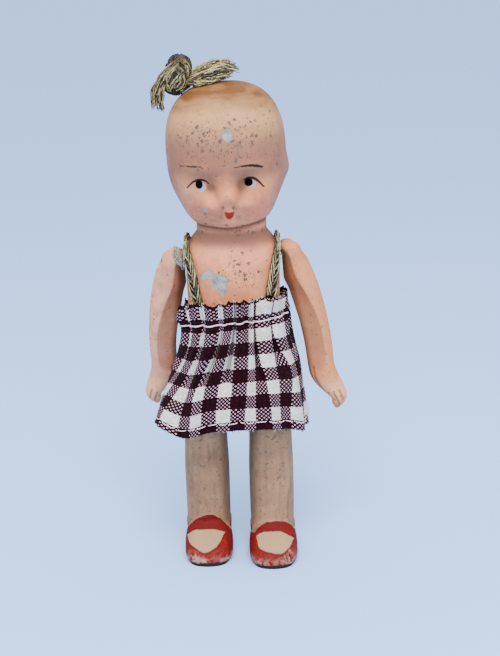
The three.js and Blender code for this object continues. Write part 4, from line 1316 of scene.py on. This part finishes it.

# Gives the eye a plain weave of wine-red and white yarns: solid squares where both ways agree and
# dotted ones where they cross, with painted shade in the deep pleats. Seven drawn threads a check,
# coarser than the real ten, which would blur to a flat grey at this size.
drawn_threads = 7
tree = new_material("yarn-dyed cotton check", 0.95, 0.04, frill, *(p[0] for p in panels.values()))
tree.nodes["Principled BSDF"].inputs["Sheen Weight"].default_value = 0.02
column = add(tree, "Attribute", out=2, attribute_name="column")
row = add(tree, "Attribute", out=2, attribute_name="row")
cloth = add(tree, "CombineXYZ", {0: column, 1: row})
wander = add(tree, "TexNoise", {"Vector": cloth, "Scale": 0.9, "Detail": 3}, out=1)
wander = add(tree, "VectorMath", {0: wander, 1: (0.5, 0.5, 0.5)}, operation="SUBTRACT")
cloth = add(tree, "VectorMath", {0: wander, 1: (0.16, 0.16, 0), 2: cloth}, operation="MULTIPLY_ADD")
red_yarn, crown_of = [], []
for k in (0, 1):
    way = add(tree, "SeparateXYZ", {0: cloth}, out=k)
    band = add(tree, "Math", {0: way}, operation="FLOOR")
    band = add(tree, "Math", {0: band, 1: 2.0}, operation="FLOORED_MODULO")
    red_yarn.append(add(tree, "Math", {0: band, 1: 0.5}, operation="LESS_THAN"))
    crown = add(tree, "Math", {0: way, 1: drawn_threads * np.pi}, operation="MULTIPLY")
    crown = add(tree, "Math", {0: crown}, operation="SINE")
    crown_of.append(add(tree, "Math", {0: crown}, operation="ABSOLUTE"))
over = add(tree, "TexChecker", {"Vector": cloth, "Scale": drawn_threads}, out=1)
on_top = add(tree, "Mix", {0: over, 2: red_yarn[0], 3: red_yarn[1]})
mixed = add(tree, "Math", {0: red_yarn[0], 1: red_yarn[1]}, operation="SUBTRACT")
mixed = add(tree, "Math", {0: mixed}, operation="ABSOLUTE")
gaps = add(tree, "Math", {0: crown_of[0], 1: crown_of[1]}, operation="MULTIPLY")
gaps = add(tree, "MapRange", {0: gaps, 1: 0.3, 2: 0.6, 3: 1, 4: 0})
gaps = add(tree, "Math", {0: mixed, 1: gaps}, operation="MULTIPLY")
is_red = add(tree, "Math", {0: on_top, 1: gaps}, operation="MAXIMUM")
crossing = add(tree, "VectorMath", {0: cloth, 1: (drawn_threads, drawn_threads, 0)}, operation="MULTIPLY")
crossing = add(tree, "VectorMath", {0: crossing}, operation="FLOOR")
uneven = add(tree, "TexWhiteNoise", {0: crossing})
white_yarn = coats(
    tree, "d8d4ca", ("bfb6ac", uneven),
    ("b27f90", add(tree, "MapRange", {0: mixed, 4: 0.72})),
    ("a08b74", patchy(tree, millimetres(tree), 0.3, 0.5, 0.8, 0, 0.5, 3)),
)
wine_yarn = coats(tree, "25040b", ("0f0206", uneven))
# Painted shade darkens the deep pleats.
colour = coats(tree, white_yarn, (wine_yarn, is_red), ("140a0c", cover_by(tree, "painted_cloth_shade", most=0.6)))
weave = add(tree, "Mix", {0: over, 2: crown_of[0], 3: crown_of[1]})
raised_yarns = add(tree, "Bump", {"Strength": 0.8, "Distance": 0.12 * MM, "Height": weave})
plug(tree, Base_Color=colour, Normal=raised_yarns)


def running_stitch(name, row, first, last, radius, shown):
    """A sewn thread along a row of the cloth: it lies outside for most of each stitch and dips
    through the cloth between stitches."""
    column = np.linspace(first, last, int((last - first) * 16) + 1)
    dip = np.cos(2 * np.pi * column * CHECK / stitch_long + 0.7 * np.sin(column))
    stand = 0.04 + 0.36 * np.tanh(2.5 * (dip + shown))
    slack = 0.1 * np.sin(3.3 * column)
    return sweep_along(name, skirt_point(column, row + slack, stand)[None], radius, 7)


waist_thread = running_stitch("waist_thread_fine", STITCH_ROW, 1, 1 + COLUMNS, 0.19, 0.85)
hem_threads = {name: running_stitch(name + "_hem_thread", hem_stitch_row, first, last, 0.11, 0.55)
               for name, (_, _, first, last) in panels.items()}
# Gives the eye a soft pale-pink sewing thread.
tree = new_material("pink cotton thread", 0.85, 0.2, waist_thread, *hem_threads.values())
plug(tree, Base_Color=coats(tree, "e3c4c8", ("c79aa2", patchy(tree, millimetres(tree), 4, 0.4, 0.7))))

# The heading and its stitching stay with the body, and so does each half of the skirt with its hem thread,
# each with a mesh of its own.
for obj in (frill, waist_thread):
    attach(obj, "body")
for name, (panel, joint, first, last) in panels.items():
    for obj in (panel, hem_threads[name]):
        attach(obj, "body")
        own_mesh(obj)
    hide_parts("skirt")
    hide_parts("hem_thread")
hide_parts("skirt")
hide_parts("waist_thread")


# Bow
# A short end of the strap braid, tied in one fat knot at the doll's right of the crown and combed out
# into two frayed tails: one hangs down beside the head and one lies over the crown.
def head_push(points, clear):
    """Moves points that would lie inside the upper head out to its surface, with some clearance."""
    middle = np.array([-(WIDEST - CHIN) * np.sin(head_tilt * DEG), 0, WIDEST])
    away = points - middle
    size = np.array([head_half, (face_deep + nape_deep) / 2, CROWN - WIDEST]) + clear
    reach = np.sum(np.abs(away / size) ** dome_full, axis=-1, keepdims=True) ** (1 / dome_full)
    return middle + away * np.maximum(1, 1 / np.maximum(reach, 1e-6))


def bundle(name, ways, count, radius, loose, curl, settle, sides=5, lightest=1.0):
    """Combed-out yarns: each follows a way drawn at random between two guide lines, with its own stray
    sideways, its own waves and its own length, and is then settled on what lies under it."""
    lines = []
    guides = np.array([smooth_path(way, 40) for way in ways])
    t = np.linspace(0, 1, 40)
    for _ in range(count):
        share = chance.uniform(0, len(guides) - 1)
        k = min(int(share), len(guides) - 2)
        line = guides[k] + (guides[k + 1] - guides[k]) * (share - k)
        stray = chance.normal(0, 1, 3) * loose * (0.35 + 0.65 * t[:, None])
        waves = curl * np.sin(2 * np.pi * (t[:, None] * chance.uniform(2, 4) + chance.uniform(0, 1, 3)))
        stop = chance.uniform(0.82, 1)
        whole = line + stray + waves * np.minimum(1, 4 * t[:, None])
        lines.append(np.stack([np.interp(t * stop, t, whole[:, a]) for a in range(3)], -1))
    taper = radius * (1 - 0.5 * t ** 4)
    yarns = sweep_along(name, settle(np.array(lines)), taper, sides)
    tint = chance.uniform(0.1, 1, (count, 1)) * lightest * (0.45 + 0.55 * np.minimum(1, 3 * t))
    mark(yarns, "tint", np.repeat(tint.ravel(), sides))
    return yarns


# The knot is a squarish lump wound about with dark yarns, both near-black as painted shade in the knot's
# hole and gaps, and over them come bands between two guide lines: over the upper left into the left tail,
# round the right, round the hole, down the left, and across below the hole.
knot_at = np.array([-11.2, 0, 116])
knot_size = np.array([2.9, 2.5, 4.5])
knot_full = 2.6
knot_lean = 18
knot_bands = [
    (12, [(-10, 120.2), (-11.6, 119.2), (-13.6, 117.2), (-15, 114.8)],
     [(-10.6, 118.6), (-12, 117.4), (-13.3, 115.8), (-14.3, 113.8)]),
    (12, [(-10.2, 120.4), (-8.4, 118.4), (-7.9, 115.6), (-8.7, 113), (-10.6, 111.7)],
     [(-10.6, 119.4), (-9.1, 117.6), (-8.7, 115.4), (-9.4, 113.2), (-11, 112)]),
    (6, [(-11.2, 118.4), (-9.6, 117), (-9.2, 115), (-10.2, 113), (-12, 112.2)],
     [(-11.6, 117.2), (-10.7, 116.4), (-10.4, 115), (-11, 113.8), (-12.4, 113.2)]),
    (7, [(-12.6, 117.4), (-13.9, 115.6), (-14, 113.6), (-12.8, 111.9)],
     [(-12.4, 116.4), (-12.9, 115.2), (-13, 114), (-12.4, 113)]),
    (10, [(-9.2, 116.4), (-10.4, 115), (-11.8, 113.4), (-12.6, 112.4)],
     [(-9.8, 117), (-11, 115.8), (-12.2, 114.4), (-13.2, 113)]),
]


def on_knot(way, out):
    """Points on the knot's lump in given directions: each direction is drawn out to a rounded box."""
    size = np.sum(np.abs(way) ** knot_full, axis=-1, keepdims=True) ** (1 / knot_full)
    return head_push(turned(way / size * (knot_size + out), (0, 1, 0), knot_lean) + knot_at, 0.2)


def over_knot(points, face, out):
    """Lays lines over the knot's front (1) or back (-1): the depth is the lump's own at that place."""
    flat = turned((points - knot_at) * (1, 0, 1), (0, 1, 0), -knot_lean) / knot_size
    room = np.maximum(0, 1 - np.sum(np.abs(flat) ** knot_full, axis=-1)) ** (1 / knot_full)
    laid = points.copy()
    laid[..., 1] = -face * (knot_size[1] * room + out) + 0.4 * points[..., 1]
    return head_push(laid, 0.2)


rise, turn = np.meshgrid(np.linspace(-84, 84, 20) * DEG, whole_turn[::6], indexing="ij")
ways = np.stack([np.cos(rise) * np.cos(turn), np.cos(rise) * np.sin(turn), np.sin(rise)], -1)
knot = loft("hair_bow_knot_fine", on_knot(ways, 0))
# The lump is near-black: painted shade in the knot's hole.
mark(knot, "tint", 0)
winds = 44
high = np.linspace(-0.95, 0.95, winds)[:, None]
spin = np.linspace(0, 2 * np.pi, winds)
around = np.sqrt(1 - high ** 2)
coils = np.stack([around * np.cos(spin), around * np.sin(spin), high + 0 * spin], -1)
coils = [turned(coil, (0, 1, 0), chance.normal(52, 7)) for coil in coils]
wound = sweep_along("wound", on_knot(np.array(coils), 0.08), 0.15, yarn_sides)
mark(wound, "tint", np.repeat(chance.uniform(0, 0.3, winds), winds * yarn_sides))
yarns = [wound]
for count, one_edge, other_edge in knot_bands:
    band = np.array([one_edge, other_edge])
    band = np.stack([band[..., 0], 0 * band[..., 0], band[..., 1]], -1)
    for face in (1, -1):
        yarns.append(bundle("yarns", band, count, radius=0.18, loose=0.22, curl=0.12, sides=yarn_sides,
                            settle=lambda p: over_knot(p, face, 0.32), lightest=0.85))
merge(knot, *yarns)
left_tail = bundle("hair_bow_left_tail_fine", [
    [(-10.2, -2.4, 119.8), (-12.9, -3.2, 118.2), (-15.6, -2.9, 115.4), (-17.1, -2.3, 112),
     (-17.2, -2, 108.7)],
    [(-10.2, -1.2, 119), (-12.6, -1.4, 117), (-14.8, -1, 114.4), (-16, -0.6, 111.8), (-16.2, -0.4, 109)],
    [(-11.2, -2.2, 117.6), (-13.4, -2.8, 115.4), (-14.2, -2.4, 112.6), (-14.6, -2, 110),
     (-14.5, -1.8, 107.6)],
], 80, radius=0.15, loose=0.25, curl=0.12, settle=lambda p: head_push(p, 0.15))
right_tail = bundle("hair_bow_right_tail_fine", [
    [(-9.4, -0.6, 115), (-7.4, -0.8, 116.8), (-4.4, -0.8, 118.7), (-1.4, -0.4, 119), (0.9, 0, 118.9)],
    [(-9.4, -1.4, 114.6), (-7.2, -2.2, 115.4), (-4, -2.4, 116.8), (-0.4, -1.6, 117.6), (2.8, -0.8, 116.9)],
    [(-9.3, -1.2, 114), (-7, -2.4, 113.9), (-4, -3, 114.2), (-1.6, -2.6, 115), (0.4, -2, 115.3)],
    [(-9.2, 0.4, 114), (-7, 1.4, 114), (-4, 2, 115), (-0.8, 2, 116.2), (1.8, 1.6, 116.6)],
    [(-9.4, 0.6, 115), (-7.2, 1.4, 116.4), (-4.2, 1.6, 118), (-1.2, 1.4, 118.6), (1.6, 1, 118)],
], 150, radius=0.14, loose=0.3, curl=0.22, settle=lambda p: head_push(p, 0.14))
for obj, node in ((knot, "hair_bow_knot"), (left_tail, "hair_bow_left_tail"),
                  (right_tail, "hair_bow_right_tail")):
    obj.data.materials.append(braid_material)
    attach(obj, "body")
    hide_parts(node)


# Floor, light and camera
# The doll stands on a wide pale-blue paper floor in a bright white room, lighter overhead, with a soft
# lamp above and in front and a weaker one near the camera.
rings = 12
spokes = 60
floor_out = 8000
ring_out = floor_out * np.linspace(0.001, 1, rings) ** 2
out, turn = np.meshgrid(ring_out, whole_turn[::len(whole_turn) // spokes], indexing="ij")
disc = np.stack([out * np.cos(turn), out * np.sin(turn), 0 * out], -1)
spots = np.arange(rings * spokes).reshape(rings, spokes)
inner, outer = spots[:-1], spots[1:]
cells = np.stack([inner, outer, np.roll(outer, -1, 1), np.roll(inner, -1, 1)], -1).reshape(-1, 4)
paper = new_object("paper_floor", disc.reshape(-1, 3), cells.tolist() + [spots[0].tolist()])
# Gives the eye an even pale blue.
tree = new_material("pale paper", 0.9, 0.1, paper)
tree.nodes["Principled BSDF"].inputs["Base Color"].default_value = linear("9fc3f8")

# Each lamp's width and depth in metres, power in watts, place in metres, and tip in degrees from
# shining straight down.
for name, wide, tall, power, at, tip in (
    ("soft lamp above", 0.26, 0.2, 3.4, (0.01, -0.24, 0.44), 32),
    ("soft fill in front", 0.4, 0.3, 1.6, (0.02, -0.55, 0.2), 78),
):
    lamp_data = bpy.data.lights.new(name, "AREA")
    lamp_data.shape = "RECTANGLE"
    lamp_data.size = wide
    lamp_data.size_y = tall
    lamp_data.energy = power
    lamp = bpy.data.objects.new(name, lamp_data)
    lamp.matrix_world = Matrix.Translation(at) @ Matrix.Rotation(tip * DEG, 4, "X")
    bpy.context.scene.collection.objects.link(lamp)
world = bpy.data.worlds.new("bright room")
world.use_nodes = True
tree = world.node_tree
upward_part = add(tree, "SeparateXYZ", {0: add(tree, "TexCoord")}, out=2)
glow = add(tree, "MapRange", {0: upward_part, 1: 0, 2: 1, 3: 0.9, 4: 2.6})
tree.nodes["Background"].inputs["Color"].default_value = linear("f4f7ff")
tree.links.new(glow, tree.nodes["Background"].inputs["Strength"])
bpy.context.scene.world = world

# The camera looks a little down on the doll from 30 cm away, and is held a little out of level.
camera_at = np.array([3.6, -296.3, 145.5])
camera_roll = -1.6
lens = bpy.data.cameras.new("camera")
lens.lens = 71.34
camera = bpy.data.objects.new("camera", lens)
aim = Matrix.Rotation((90 - view_tip) * DEG, 4, "X") @ Matrix.Rotation(camera_roll * DEG, 4, "Z")
camera.matrix_world = Matrix.Translation(((camera_at + TO_FRAME) * MM).tolist()) @ aim
bpy.context.scene.collection.objects.link(camera)
bpy.context.scene.camera = camera
